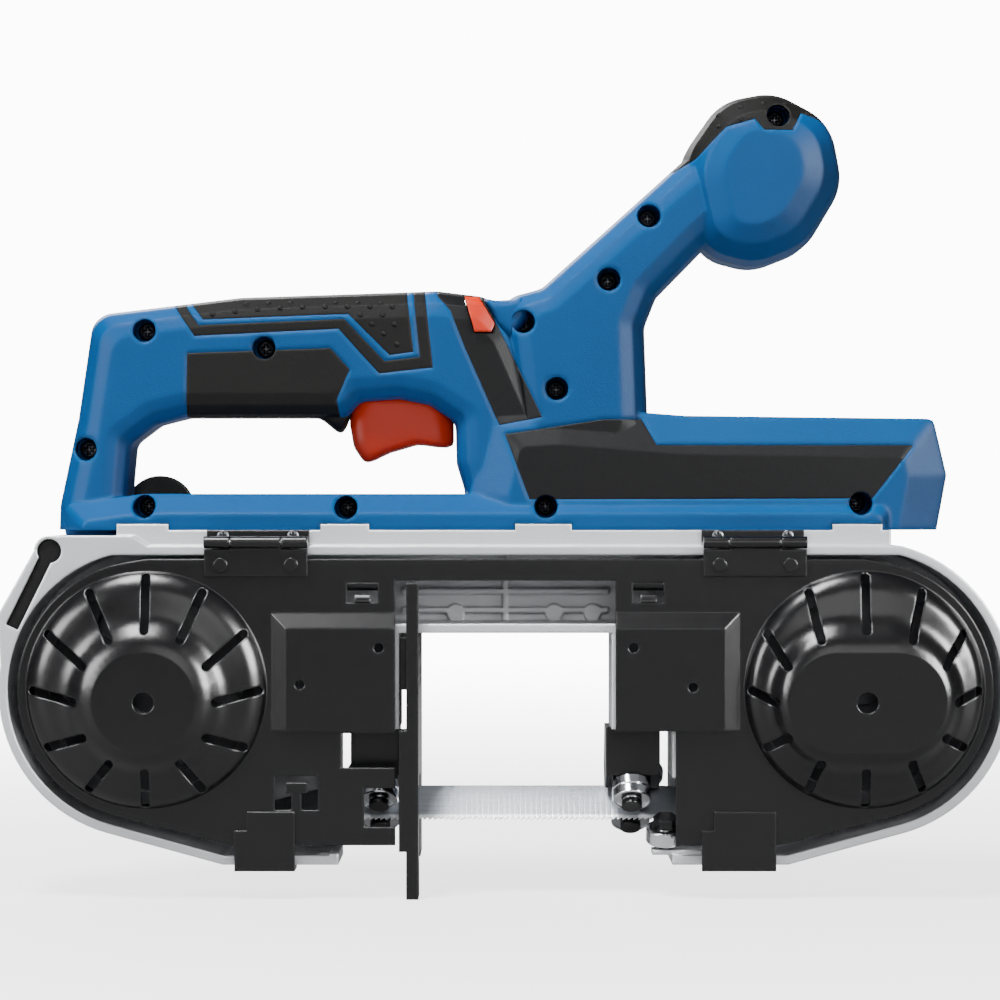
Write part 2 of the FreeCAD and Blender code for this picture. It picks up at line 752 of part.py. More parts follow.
def make_frame():
    """Cast C frame: pan walls, web, saddle for the body, gear case, slide rails and bosses."""
    body = slab(frame_outline(0), RIM_Y, WEB_BACK_Y)
    pan = slab(frame_outline(FRAME_WALL), RIM_Y - OVER, WEB_FRONT_Y)
    body = body.cut(pan)
    corner = slab(
        [
            (LEFT_X, RIM_TOP),
            (LEFT_X, RIM_TOP - FRAME_WALL),
            (LEFT_X - END_RADIUS * LUG_ROOT_SHARE, LUG_SIDE_Z),
            (LEFT_X - math.sqrt(END_RADIUS ** 2 - LUG_SIDE_Z ** 2), LUG_SIDE_Z),
            (LEFT_X - END_RADIUS, LUG_LOW_Z),
            (LEVER_BOSS_X - LEVER_BOSS_RADIUS, LEVER_BOSS_Z),
            (LEVER_BOSS_X, LEVER_BOSS_Z + LEVER_BOSS_RADIUS),
            (LEFT_X - LEVER_BOSS_RADIUS, LEVER_BOSS_Z + LEVER_BOSS_RADIUS),
        ],
        RIM_Y,
        WEB_BACK_Y,
    )
    corner = fuse([corner, rod(LEVER_BOSS_X, LEVER_BOSS_Z, LEVER_BOSS_RADIUS, RIM_Y, WEB_BACK_Y)])
    corner = corner.cut(pan)
    keyhole = [
        rod(LEVER_BOSS_X, LEVER_BOSS_Z, LEVER_BOSS_RADIUS - OVER, RIM_Y - OVER, RIM_Y + LEVER_RECESS)
    ]
    keyhole.append(groove(GROOVE_WIDTH, RIM_Y - OVER, RIM_Y + LEVER_RECESS))
    corner = corner.cut(keyhole)
    body = body.cut(keyhole)
    saddle = box(
        SADDLE_LEFT_X, SADDLE_RIGHT_X, SADDLE_FRONT_Y, SADDLE_BACK_Y, RIM_TOP - FRAME_WALL, SADDLE_TOP
    )
    pocket = box(
        SADDLE_LEFT_X + FRAME_WALL,
        SADDLE_RIGHT_X - FRAME_WALL,
        WEB_BACK_Y,
        SADDLE_BACK_Y - FRAME_WALL,
        RIM_TOP - FRAME_WALL - OVER,
        SADDLE_TOP - FRAME_WALL,
    )
    saddle = saddle.cut(pocket)
    lugs = []
    for left_px, right_px in LUG_SPANS_PX:
        x0 = (left_px - MIDDLE_PX) * PIXEL
        x1 = (right_px - MIDDLE_PX) * PIXEL
        lugs.append(
            box(x0, x1, SADDLE_FRONT_Y, SADDLE_FRONT_Y + LUG_DEPTH, RIM_TOP, SADDLE_TOP + LUG_HEIGHT)
        )
    ribs = []
    for share in BRIDGE_RIB_SHARES:
        z = THROAT_TOP + share * (RIM_TOP - THROAT_TOP)
        rib = box(-THROAT_HALF, THROAT_HALF, WEB_FRONT_Y - RIB_HEIGHT, WEB_FRONT_Y, z, z + RIB_THICKNESS)
        ribs.append(rib)
    half_rib = RIB_THICKNESS / 2
    ribs.append(
        box(-half_rib, half_rib, WEB_FRONT_Y - RIB_HEIGHT, WEB_FRONT_Y, THROAT_TOP, RIM_TOP - FRAME_WALL)
    )
    pad_z = THROAT_TOP + BRIDGE_RIB_SHARES[0] * (RIM_TOP - THROAT_TOP)
    for share in PAD_SHARES:
        ribs.append(rod(share * THROAT_HALF, pad_z, PAD_RADIUS, WEB_FRONT_Y - RIB_HEIGHT, WEB_FRONT_Y))
    case = case_rounds(CASE_WALL, WEB_BACK_Y, CASE_BACK_Y)
    ears = [rod(x, z, CASE_EAR_RADIUS, WEB_BACK_Y, CASE_BACK_Y) for x, z in case_ears()]
    boss = rod(RIGHT_X, 0, BEARING_RADIUS + CASE_WALL, FRONT_BEARING_Y, BOSS_BACK_Y)
    rails = []
    half = SLIDE_HEIGHT / 2 + SLIDE_CLEAR
    for low in (half, -half - RAIL_HEIGHT):
        rail = box(
            LEFT_X - RAIL_LEFT, LEFT_X + RAIL_RIGHT, WEB_BACK_Y, SLIDE_BACK_Y + SLIDE_CLEAR, low,
            low + RAIL_HEIGHT
        )
        rails.append(rail)
    lay_boss = rod(LAY_X, LAY_Z, SMALL_BEARING_RADIUS + CASE_WALL, WEB_FRONT_Y, WEB_BACK_Y + OVER)
    whole = fuse([body, corner, saddle] + lugs + ribs + [case] + ears + rails)
    whole = whole.cut(case_rounds(0, WEB_BACK_Y, CASE_BACK_Y + OVER))
    whole = fuse([whole, boss, lay_boss])
    tools = [
        rod(RIGHT_X, 0, BEARING_RADIUS, DRIVE_BEARING_Y, BOSS_BACK_Y + OVER),
        rod(RIGHT_X, 0, SHAFT_RADIUS + OVER, FRONT_BEARING_Y - OVER, WEB_BACK_Y),
        rod(
            LAY_X, LAY_Z, SMALL_BEARING_RADIUS, WEB_BACK_Y + OVER - SMALL_BEARING_WIDTH,
            WEB_BACK_Y + OVER + OVER,
        ),
        rod(CAM_X, 0, CAM_PIN_RADIUS + RUNNING_FIT, WEB_FRONT_Y - OVER, WEB_BACK_Y + OVER),
    ]
    tools += [
        rod(x, z, CASE_SCREW_RADIUS, WEB_BACK_Y + CASE_WALL, CASE_BACK_Y + OVER) for x, z in case_ears()
    ]
    slot = [
        rod(LEFT_X, 0, AXLE_SLOT_RADIUS, WEB_FRONT_Y - OVER, WEB_BACK_Y + OVER),
        rod(LEFT_X + SLIDE_TRAVEL, 0, AXLE_SLOT_RADIUS, WEB_FRONT_Y - OVER, WEB_BACK_Y + OVER),
        box(
            LEFT_X,
            LEFT_X + SLIDE_TRAVEL,
            WEB_FRONT_Y - OVER,
            WEB_BACK_Y + OVER,
            -AXLE_SLOT_RADIUS,
            AXLE_SLOT_RADIUS,
        ),
    ]
    exits = []
    for side in (1, -1):
        x0 = side * (STEP_X - OVER)
        x1 = side * (STEP_X + FRAME_WALL + OVER)
        exits.append(
            box(min(x0, x1), max(x0, x1), RIM_Y - OVER, WEB_FRONT_Y, -EXIT_BOTTOM_DROP, -EXIT_TOP_DROP)
        )
    whole = whole.cut(tools + slot + exits)
    whole = whole.cut([holder_screw_hole(x, y) for x, y in holder_screw_places()])
    whole = fuse([whole, stop_roller_bracket()])
    saddle_holes = [
        bar(Vector(x, SADDLE_SCREW_Y, RIM_TOP), ZAXIS, SCREW_RADIUS, SADDLE_TOP - RIM_TOP + OVER)
        for x in saddle_screw_places()
    ]
    slide_holes = [
        rod(x, z, SLIDE_SCREW_RADIUS, WEB_BACK_Y, PLATE_BACK_Y) for x, z in slide_screw_places()
    ]
    whole = whole.cut(saddle_holes + slide_holes)
    for x in hinge_screw_places():
        whole = whole.cut(
            rod(x, HINGE_SCREW_Z, HINGE_SCREW_RADIUS, SADDLE_FRONT_Y - OVER, SADDLE_FRONT_Y + SCREW_SINK)
        )
    for y, z in stop_screw_places():
        hole = bar(Vector(-THROAT_HALF + OVER, y, z), -XAXIS, STOP_SCREW_RADIUS, FRAME_WALL + OVER + OVER)
        whole = whole.cut(hole)
    return whole


def hinge_screw_places():
    """X places of the hinge screws, two at each hinge."""
    return [side * HINGE_X + i * HINGE_SCREW_SPREAD for side in (-1, 1) for i in (-1, 1)]


def holder_screw_places():
    """Screws of the two guide holders in the step of the frame, as x and y."""
    return [(side * HOLDER_SCREW_X, y) for side in (-1, 1) for y in HOLDER_SCREW_YS]


def holder_screw_hole(x, y):
    """Hole of a holder screw through the step wall into the holder."""
    return bar(
        Vector(x, y, FRAME_WALL - STEP_DROP + OVER), -ZAXIS, HOLDER_SCREW_RADIUS,
        HOLDER_SCREW_LENGTH + OVER,
    )


def saddle_screw_places():
    """X places of the screws that hold the body on the saddle, one beside each lug."""
    return [(left + right - MIDDLE_PX * 2) * PIXEL / 2 for left, right in LUG_SPANS_PX]


def slide_screw_places():
    """Screws of the slide plate in the rails, as x and z."""
    z = SLIDE_HEIGHT / 2 + SLIDE_CLEAR + RAIL_HEIGHT / 2
    xs = (LEFT_X - RAIL_LEFT + RAIL_HEIGHT, LEFT_X + RAIL_RIGHT - RAIL_HEIGHT)
    return [(x, side * z) for x in xs for side in (-1, 1)]


def stop_roller_point(along):
    """Point on the tilted axis of the stop roller, measured from the middle of the roller."""
    return STOP_ROLLER_MIDDLE + STOP_ROLLER_AXIS * along


def stop_roller_bracket():
    """Flat arm on the foot of the frame that carries the bolt of the stop roller."""
    low = FRAME_WALL - FOOT_DROP
    arm = box(BRACKET_LEFT, BRACKET_RIGHT, BRACKET_FRONT_Y, BRACKET_BACK_Y, low, low + BRACKET_HEIGHT)
    hole = bar(stop_roller_point(0), -STOP_ROLLER_AXIS, STOP_BOLT_RADIUS, STOP_BOLT_LENGTH)
    return arm.cut(hole)


def stop_screw_places():
    """Screws of the work stop in the left wall of the throat, as y and z."""
    return [(y, z) for y in STOP_SCREW_YS for z in STOP_SCREW_HEIGHTS]


def make_bumper():
    """Rubber strip in the groove of the corner lug, with its round bead in the boss."""
    bead = rod(
        LEVER_BOSS_X, LEVER_BOSS_Z, LEVER_BOSS_RADIUS - OVER - BUMPER_CLEAR, RIM_Y + OVER,
        RIM_Y + LEVER_RECESS,
    )
    strip = groove(GROOVE_WIDTH - BUMPER_CLEAR * 2, RIM_Y + OVER, RIM_Y + LEVER_RECESS)
    return fuse([bead, strip])


keep("frame", make_frame())
keep("corner_bumper", make_bumper())


def cover_outline():
    """Cover seen from the front: two round ends, a bar along the top, the throat with its cut-outs."""
    reach = math.sqrt(COVER_END ** 2 - (COVER_TOP - OVER) ** 2)
    foot_x = FOOT_END_X - FRAME_WALL
    low_right = tangent_end(RIGHT_X, 0, COVER_END, foot_x, -COVER_FOOT, 1)
    return [
        (-COVER_THROAT, BAR_LOW),
        (COVER_THROAT, BAR_LOW),
        (COVER_THROAT, -PANEL_LOW_DROP),
        (COVER_STEP, -PANEL_LOW_DROP),
        (COVER_STEP, -COVER_FOOT),
        (foot_x, -COVER_FOOT),
        low_right,
        ((RIGHT_X + COVER_END, 0), (RIGHT_X + reach, COVER_TOP - OVER)),
        (RIGHT_X, COVER_TOP),
        (LEFT_X, COVER_TOP),
        (LEFT_X - reach, COVER_TOP - OVER),
        ((LEFT_X - COVER_END, 0), (-low_right[0], low_right[1])),
        (-foot_x, -COVER_FOOT),
        (-COVER_THROAT, -COVER_FOOT),
        (-COVER_THROAT, -CUTOUT_LOW_DROP),
        (-CUTOUT_REACH, -CUTOUT_LOW_DROP),
        (-CUTOUT_REACH, -CUTOUT_TOP_DROP),
        (-COVER_THROAT, -CUTOUT_TOP_DROP),
        (-COVER_THROAT, -NOTCH_LOW_DROP),
        (-NOTCH_REACH, -NOTCH_LOW_DROP),
        (-NOTCH_REACH, -NOTCH_TOP_DROP),
        (-COVER_THROAT, -NOTCH_TOP_DROP),
    ]


def stadium(x, z, radius, stretch, y):
    """Wire of two half circles joined by straight sides, long along X."""
    left = x - stretch
    right = x + stretch
    edges = [
        Part.makeLine(Vector(left, y, z - radius), Vector(right, y, z - radius)),
        Part.Arc(
            Vector(right, y, z - radius), Vector(right + radius, y, z), Vector(right, y, z + radius)
        ).toShape(),
        Part.makeLine(Vector(right, y, z + radius), Vector(left, y, z + radius)),
        Part.Arc(
            Vector(left, y, z + radius), Vector(left - radius, y, z), Vector(left, y, z - radius)
        ).toShape(),
    ]
    return Part.Wire(edges)


def dome(x, stretch, shrink, back):
    """Pressed dome in front of a wheel: rounded shoulder, shallow slope, steeper rise, flat plateau."""
    wires = []
    for inward, rise in DOME_SECTION_SHARES:
        radius = DOME_RADIUS + (PLATEAU_RADIUS - DOME_RADIUS) * inward - shrink
        y = COVER_Y + back - DOME_HEIGHT * rise
        wires.append(stadium(x, -PLATEAU_DROP * inward, radius, stretch * inward + OVER / 2, y))
    return Part.makeLoft(wires, True, False)


def raised_panel(side, shrink, back):
    """Raised panel beside the throat, bevelled on its outer side and at its foot."""
    inner = side * (COVER_THROAT + shrink)
    outer = side * (PANEL_REACH - shrink)
    bevel = side * PANEL_BEVEL
    top = PANEL_TOP - shrink
    low = shrink - PANEL_LOW_DROP
    foot = [
        (inner, low), (outer + bevel, low), (outer + bevel, top + PANEL_BEVEL), (inner, top + PANEL_BEVEL)
    ]
    face = [(inner, low), (outer, low), (outer, top), (inner, top)]
    return Part.makeLoft(
        [outline(foot, COVER_Y + back), outline(face, COVER_Y + back - PANEL_RISE)], True, True
    )


def slot_cut(x, stretch, angle):
    """Tool for one radial slot of a dome."""
    along_x = math.cos(angle)
    along_z = math.sin(angle)
    bend = stretch if along_x > 0 else -stretch
    lean = bend * abs(along_x)
    start = (x + lean + SLOT_INNER * along_x, SLOT_INNER * along_z - PLATEAU_DROP)
    end = (x + SLOT_OUTER * along_x, SLOT_OUTER * along_z)
    run = math.hypot(end[0] - start[0], end[1] - start[1])
    side_x = -(end[1] - start[1]) / run * SLOT_WIDTH / 2
    side_z = (end[0] - start[0]) / run * SLOT_WIDTH / 2
    corners = [
        (start[0] + side_x, start[1] + side_z),
        (start[0] - side_x, start[1] - side_z),
        (end[0] - side_x, end[1] - side_z),
        (end[0] + side_x, end[1] + side_z),
    ]
    pieces = [slab(corners, FRONT_Y - OVER, COVER_Y + SHEET + OVER)]
    pieces += [
        rod(px, pz, SLOT_WIDTH / 2, FRONT_Y - OVER, COVER_Y + SHEET + OVER) for px, pz in (start, end)
    ]
    return fuse(pieces)


def make_cover():
    """Pressed sheet cover with domes, raised panels, slots and windows; rim flange on the outer edge."""
    face = slab(cover_outline(), COVER_Y, COVER_Y + SHEET)
    tray = slab(cover_outline(), COVER_Y, COVER_Y + COVER_FLANGE)
    core = Part.Face(outline(cover_outline(), COVER_Y)).makeOffset2D(-SHEET, 2)
    tray = tray.cut(core.extrude(Vector(0, COVER_FLANGE + OVER, 0)))
    clear = COVER_FLANGE_START
    tray = tray.cut(
        box(
            -clear, clear, COVER_Y - OVER, COVER_Y + COVER_FLANGE + OVER, -COVER_FOOT - OVER,
            COVER_TOP - SHEET * 2,
        )
    )
    tray = tray.cut(
        box(
            -clear, clear, COVER_Y - OVER, COVER_Y + COVER_FLANGE + OVER, -COVER_FOOT - OVER,
            -CUTOUT_LOW_DROP,
        )
    )
    shell = fuse([face, tray])
    spots = ((LEFT_X, 0), (RIGHT_X, PLATEAU_STRETCH))
    outers = [dome(x, stretch, 0, 0) for x, stretch in spots]
    inners = [dome(x, stretch, SHEET, SHEET) for x, stretch in spots]
    outers += [raised_panel(side, 0, 0) for side in (-1, 1)]
    inners += [raised_panel(side, SHEET, SHEET) for side in (-1, 1)]
    shell = fuse([shell] + outers).cut(inners)
    tools = [rod(x, -PLATEAU_DROP, DOME_HOLE_RADIUS, FRONT_Y - OVER, COVER_Y) for x, stretch in spots]
    for x, stretch in spots:
        tools += [
            slot_cut(x, stretch * SLOT_BEND_SHARE, math.tau * i / SLOT_COUNT) for i in range(SLOT_COUNT)
        ]
    for side in (-1, 1):
        x0 = side * WINDOW_X - WINDOW_WIDTH / 2
        tools.append(
            box(x0, x0 + WINDOW_WIDTH, COVER_Y - OVER, COVER_Y + SHEET + OVER, WINDOW_LOW, WINDOW_TOP)
        )
    for x, z in COVER_HOLES:
        tools.append(rod(x, z, COVER_HOLE_RADIUS, COVER_Y - PANEL_RISE - OVER, COVER_Y + SHEET + OVER))
    catch = box(
        CATCH_X - CATCH_WIDTH / 2,
        CATCH_X + CATCH_WIDTH / 2,
        COVER_Y - OVER,
        COVER_Y + SHEET + OVER,
        -CATCH_LOW_DROP,
        -CATCH_TOP_DROP,
    )
    middle = -(CATCH_LOW_DROP + CATCH_TOP_DROP) / 2
    stem = box(
        CATCH_X - CATCH_STEM / 2, CATCH_X + CATCH_STEM / 2, COVER_Y - OVER, COVER_Y + SHEET + OVER,
        -CATCH_LOW_DROP, middle
    )
    bar_top = box(
        CATCH_X - CATCH_STEM, CATCH_X + CATCH_STEM, COVER_Y - OVER, COVER_Y + SHEET + OVER,
        middle, middle + CATCH_STEM
    )
    tools.append(catch.cut([stem, bar_top]))
    shell = shell.cut(tools)
    for x, z in rivet_places():
        shell = shell.cut(rod(x, z, RIVET_RADIUS, COVER_Y - OVER, COVER_Y + SHEET + OVER))
    return shell


def rivet_places():
    """Rivets of the moving hinge leaves, as x and z."""
    return [(side * HINGE_X + i * RIVET_SPREAD, RIVET_Z) for side in (-1, 1) for i in (-1, 1)]


def make_moving_leaves():
    """Hinge leaves riveted to the cover, with the middle knuckle."""
    leaves = []
    for side in (-1, 1):
        x = side * HINGE_X
        plate = box(
            x - HINGE_LENGTH / 2, x + HINGE_LENGTH / 2, COVER_Y - SHEET, COVER_Y, LEAF_LOW,
            HINGE_Z - HINGE_BARREL - CLEAR
        )
        tongue = box(x - KNUCKLE / 2, x + KNUCKLE / 2, COVER_Y - SHEET, COVER_Y, LEAF_LOW, HINGE_Z)
        knuckle = bar(Vector(x - KNUCKLE / 2, HINGE_Y, HINGE_Z), XAXIS, HINGE_BARREL, KNUCKLE)
        leaf = fuse([plate, tongue, knuckle])
        hole = bar(
            Vector(
                x - HINGE_LENGTH, HINGE_Y, HINGE_Z
            ), XAXIS, HINGE_PIN_RADIUS + RUNNING_FIT, HINGE_LENGTH * 2
        )
        holes = [
            rod(a, b, RIVET_RADIUS, COVER_Y - SHEET - OVER, COVER_Y + OVER) for a, b in rivet_places()
        ]
        leaves.append(leaf.cut([hole] + holes))
    return Part.makeCompound(leaves)


def make_fixed_leaves():
    """Hinge leaves on the frame: two outer knuckles, a bend over the rim and a screwed flange."""
    leaves = []
    for side in (-1, 1):
        x = side * HINGE_X
        pieces = []
        for end in (-1, 1):
            x0 = x + end * (KNUCKLE / 2 + KNUCKLE_GAP)
            x1 = x + end * HINGE_LENGTH / 2
            low, high = min(x0, x1), max(x0, x1)
            pieces.append(bar(Vector(low, HINGE_Y, HINGE_Z), XAXIS, HINGE_BARREL, high - low))
            pieces.append(box(low, high, HINGE_Y, RIM_Y, HINGE_Z - SHEET / 2, HINGE_Z + SHEET / 2))
        shelf = box(
            x - HINGE_LENGTH / 2, x + HINGE_LENGTH / 2, RIM_Y - SHEET, SADDLE_FRONT_Y, RIM_TOP,
            RIM_TOP + SHEET
        )
        flange = box(
            x - HINGE_LENGTH / 2, x + HINGE_LENGTH / 2, SADDLE_FRONT_Y - SHEET, SADDLE_FRONT_Y, RIM_TOP,
            SADDLE_TOP
        )
        leaf = fuse(pieces + [shelf, flange])
        hole = bar(
            Vector(x - HINGE_LENGTH, HINGE_Y, HINGE_Z), XAXIS, HINGE_PIN_RADIUS, HINGE_LENGTH * 2
        )
        screws = [
            rod(
                a, HINGE_SCREW_Z, HINGE_SCREW_RADIUS, SADDLE_FRONT_Y - SHEET - OVER, SADDLE_FRONT_Y + OVER
            )
            for a in hinge_screw_places()
        ]
        leaves.append(leaf.cut([hole] + screws))
    return Part.makeCompound(leaves)


def make_hinge_pins():
    """Pins through the hinge knuckles."""
    return Part.makeCompound(
        [
            bar(
                Vector(s * HINGE_X - HINGE_LENGTH / 2, HINGE_Y, HINGE_Z), XAXIS, HINGE_PIN_RADIUS,
                HINGE_LENGTH,
            )
            for s in (-1, 1)
        ]
    )


def pan_screw(tip, direction, radius, head, length):
    """Screw with a domed round head: shank from the seat along a direction, head the other way."""
    shank = bar(tip, direction, radius, length)
    top = Part.makeSphere(head * HEAD_BALL_SHARE, tip + direction * (head * HEAD_SINK_SHARE))
    trim = bar(tip - direction * head, direction, head, head)
    return fuse([shank, top.common(trim)])


def make_hinge_screws():
    """Four pan head screws that hold the fixed hinge leaves on the saddle."""
    return Part.makeCompound(
        [
            pan_screw(
                Vector(x, SADDLE_FRONT_Y - SHEET, HINGE_SCREW_Z), YAXIS, HINGE_SCREW_RADIUS,
                HINGE_SCREW_HEAD,
                SHEET + SCREW_SINK - OVER
            )
            for x in hinge_screw_places()
        ]
    )


def make_rivets():
    """Four rivets through the moving leaves and the cover."""
    rivets = []
    for x, z in rivet_places():
        shank = rod(x, z, RIVET_RADIUS, COVER_Y - SHEET, COVER_Y + SHEET)
        head = rod(x, z, RIVET_HEAD, COVER_Y - SHEET - SHEET / 2, COVER_Y - SHEET)
        rivets.append(fuse([shank, head]))
    return Part.makeCompound(rivets)


def make_clips():
    """Two spring clips on the cover that grip under the foot of the frame."""
    clips = []
    for x0, x1 in CLIP_SPANS:
        low = FOOT_DROP + CLEAR + CLIP_SHEET
        plate = box(x0, x1, COVER_Y - CLIP_SHEET, COVER_Y, -low, -CLIP_TOP_DROP)
        wide = box(x0 - CLIP_STEP, x1, COVER_Y - CLIP_SHEET, COVER_Y, -low, -CLIP_STEP_DROP)
        leg = box(x0, x1, COVER_Y - CLIP_SHEET, COVER_Y + CLIP_LEG, -low, -FOOT_DROP - CLEAR)
        clips.append(fuse([plate, wide, leg]))
    return Part.makeCompound(clips)


keep("wheel_cover", make_cover())
keep("hinge_moving_leaves", make_moving_leaves())
keep("hinge_fixed_leaves", make_fixed_leaves())
keep("hinge_pins", make_hinge_pins())
keep("hinge_screws", make_hinge_screws())
keep("hinge_rivets", make_rivets())
keep("cover_clips", make_clips())


# Blade
def blade_section(x, share):
    """Rectangle of the blade at x; the share runs from flat on the wheel, 0, to the full lean, 1."""
    ease = share * share * (3 - 2 * share)
    turn = (math.pi / 2 - LEAN) * ease
    middle = Vector(x, WHEEL_MIDDLE_Y, GUIDE_LIFT * ease - BLADE_RADIUS)
    width = Vector(0, -math.cos(turn), -math.sin(turn)) * (BLADE_WIDTH / 2)
    face = Vector(0, -math.sin(turn), math.cos(turn)) * (BLADE_THICKNESS / 2)
    corners = [middle + width + face, middle - width + face, middle - width - face, middle + width - face]
    return Part.makePolygon(corners + [corners[0]])


def make_blade():
    """Endless blade: round the wheels, then turned to the lean of the cut in the throat."""
    flat_x = RIGHT_X - TWIST_START
    outer = BLADE_RADIUS + BLADE_THICKNESS / 2
    inner = BLADE_RADIUS - BLADE_THICKNESS / 2
    loop = [
        (-flat_x, -outer),
        (LEFT_X, -outer),
        ((LEFT_X - outer, 0), (LEFT_X, outer)),
        (RIGHT_X, outer),
        ((RIGHT_X + outer, 0), (RIGHT_X, -outer)),
        (flat_x, -outer),
        (flat_x, -inner),
        (RIGHT_X, -inner),
        ((RIGHT_X + inner, 0), (RIGHT_X, inner)),
        (LEFT_X, inner),
        ((LEFT_X - inner, 0), (LEFT_X, -inner)),
        (-flat_x, -inner),
    ]
    round_part = slab(loop, WHEEL_MIDDLE_Y - BLADE_WIDTH / 2, WHEEL_MIDDLE_Y + BLADE_WIDTH / 2)
    pieces = [round_part]
    for side in (-1, 1):
        wires = []
        for step in range(TWIST_STEPS + 1):
            share = step / TWIST_STEPS
            wires.append(blade_section(side * (flat_x + (TWIST_END - flat_x) * share), share))
        pieces.append(Part.makeLoft(wires, True, True))
    pieces.append(Part.makeLoft([blade_section(-TWIST_END, 1), blade_section(TWIST_END, 1)], True, True))
    return fuse(pieces)


keep("blade", make_blade())


def guide_point(x, facing, back):
    """Point beside the blade in the throat: facing along its normal, back towards its back edge."""
    return GUIDE_MIDDLE + XAXIS * x + FACING * facing - ALONG * back


def make_holder(side):
    """Steel fork that carries the rollers, screwed under the step of the frame."""
    half = FORK_GAP / 2
    crown = THRUST_REACH + THRUST_RADIUS + HOLDER_CROWN_GAP
    foot = guide_point(0, HOLDER_OUTER, HOLDER_FOOT)
    pairs = [(half, crown), (half, HOLDER_FOOT), (HOLDER_OUTER, HOLDER_FOOT)]
    corners = [guide_point(0, facing, back) for facing, back in pairs]
    corners += [Vector(0, foot.y, -STEP_DROP), Vector(0, HOLDER_BACK_Y, -STEP_DROP)]
    pairs = [
        (-HOLDER_OUTER, crown + HOLDER_BRIDGE), (-HOLDER_OUTER, HOLDER_FOOT), (-half, HOLDER_FOOT),
        (-half, crown),
    ]
    corners += [guide_point(0, facing, back) for facing, back in pairs]
    inner = HOLDER_INNER_X if side > 0 else -HOLDER_LEFT_INNER_X
    outer = side * HOLDER_END_X
    fork = Part.Face(Part.makePolygon(corners + [corners[0]])).extrude(XAXIS * abs(outer - inner))
    fork.translate(XAXIS * min(inner, outer))
    tools = [pin_hole(side * GUIDE_X, facing) for facing in (SIDE_REACH, -SIDE_REACH)]
    tools.append(thrust_pin(side))
    tools += [holder_screw_hole(x, y) for x, y in holder_screw_places()]
    return fork.cut(tools)


def pin_hole(x, facing):
    """Shank of a side roller pin, from below the roller up into the leg."""
    length = HOLDER_FOOT + ROLLER_WIDTH / 2 + ROLLER_GAP + HOLDER_BRIDGE
    return bar(guide_point(x, facing, -ROLLER_WIDTH / 2 - ROLLER_GAP), -ALONG, ROLLER_BORE, length)


def thrust_pin(side):
    """Pin of the thrust roller across both legs."""
    x = side * (GUIDE_X + THRUST_SHIFT)
    return bar(guide_point(x, HOLDER_OUTER, THRUST_REACH), -FACING, THRUST_BORE, HOLDER_OUTER * 2)


def make_side_pins():
    """Four roller pins with domed heads below the rollers."""
    pins = []
    for side in (-1, 1):
        for facing in (SIDE_REACH, -SIDE_REACH):
            seat = guide_point(side * GUIDE_X, facing, -ROLLER_WIDTH / 2 - ROLLER_GAP)
            head = bar(seat + ALONG * PIN_HEAD, -ALONG, PIN_HEAD_RADIUS, PIN_HEAD)
            pins.append(fuse([pin_hole(side * GUIDE_X, facing), head]))
    return pins


def make_side_roller(side, facing):
    """Ball bearing used as a side roller, its bore running on the pin."""
    start = guide_point(side * GUIDE_X, facing, -ROLLER_WIDTH / 2)
    body = bar(start, -ALONG, ROLLER_RADIUS, ROLLER_WIDTH)
    bore = bar(start + ALONG * OVER, -ALONG, ROLLER_BORE + RUNNING_FIT, ROLLER_WIDTH + OVER * 2)
    return body.cut(bore)


def make_thrust_roller(side):
    """Roller behind the back edge of the blade, across the fork."""
    x = side * (GUIDE_X + THRUST_SHIFT)
    start = guide_point(x, THRUST_WIDTH / 2, THRUST_REACH)
    body = bar(start, -FACING, THRUST_RADIUS, THRUST_WIDTH)
    bore = bar(start + FACING * OVER, -FACING, THRUST_BORE + RUNNING_FIT, THRUST_WIDTH + OVER * 2)
    return body.cut(bore)


for side, word in ((-1, "left"), (1, "right")):
    keep("guide_holder_" + word, make_holder(side))
    keep("front_roller_" + word, make_side_roller(side, SIDE_REACH))
    keep("rear_roller_" + word, make_side_roller(side, -SIDE_REACH))
    keep("thrust_roller_" + word, make_thrust_roller(side))
# Work stop


def make_stop():
    """Flat steel stop across the throat: blade slot, pad on the frame wall and a side flange."""
    front_strip = RIM_Y - CLEAR
    pairs = [
        (STOP_FRONT_Y, -STOP_DROP),
        (STOP_SLOT_FRONT_Y, -STOP_DROP),
        (STOP_SLOT_FRONT_Y, -STOP_SLOT_TOP_DROP),
        (STOP_SLOT_BACK_Y, -STOP_SLOT_TOP_DROP),
        (STOP_SLOT_BACK_Y, -FOOT_DROP),
        (STOP_BACK_Y, -FOOT_DROP),
        (STOP_BACK_Y, THROAT_TOP - CLEAR - OVER),
        (front_strip, THROAT_TOP - CLEAR - OVER),
        (front_strip, STOP_TOP),
        (STOP_FRONT_Y, STOP_TOP),
    ]
    corners = [Vector(STOP_X, y, z) for y, z in pairs]
    plate = Part.Face(Part.makePolygon(corners + [corners[0]])).extrude(XAXIS * STOP_THICKNESS)
    pad = box(-THROAT_HALF, STOP_X, RIM_Y, WEB_BACK_Y, 0, THROAT_TOP - CLEAR - OVER)
    flange = box(
        STOP_X - STOP_FLANGE, STOP_X, STOP_FRONT_Y, STOP_FLANGE_BACK_Y, -STOP_FLANGE_LOW_DROP,
        -STOP_FLANGE_TOP_DROP
    )
    whole = fuse([plate, pad, flange])
    sink_x = STOP_X + STOP_THICKNESS - STOP_SCREW_SINK
    holes = []
    for y, z in stop_screw_places():
        holes.append(bar(Vector(-THROAT_HALF - OVER, y, z), XAXIS, STOP_SCREW_RADIUS, THROAT_HALF))
        holes.append(bar(Vector(sink_x, y, z), XAXIS, STOP_SCREW_HEAD + CLEAR, STOP_SCREW_SINK + OVER))
    return whole.cut(holes)


keep("work_stop", make_stop())


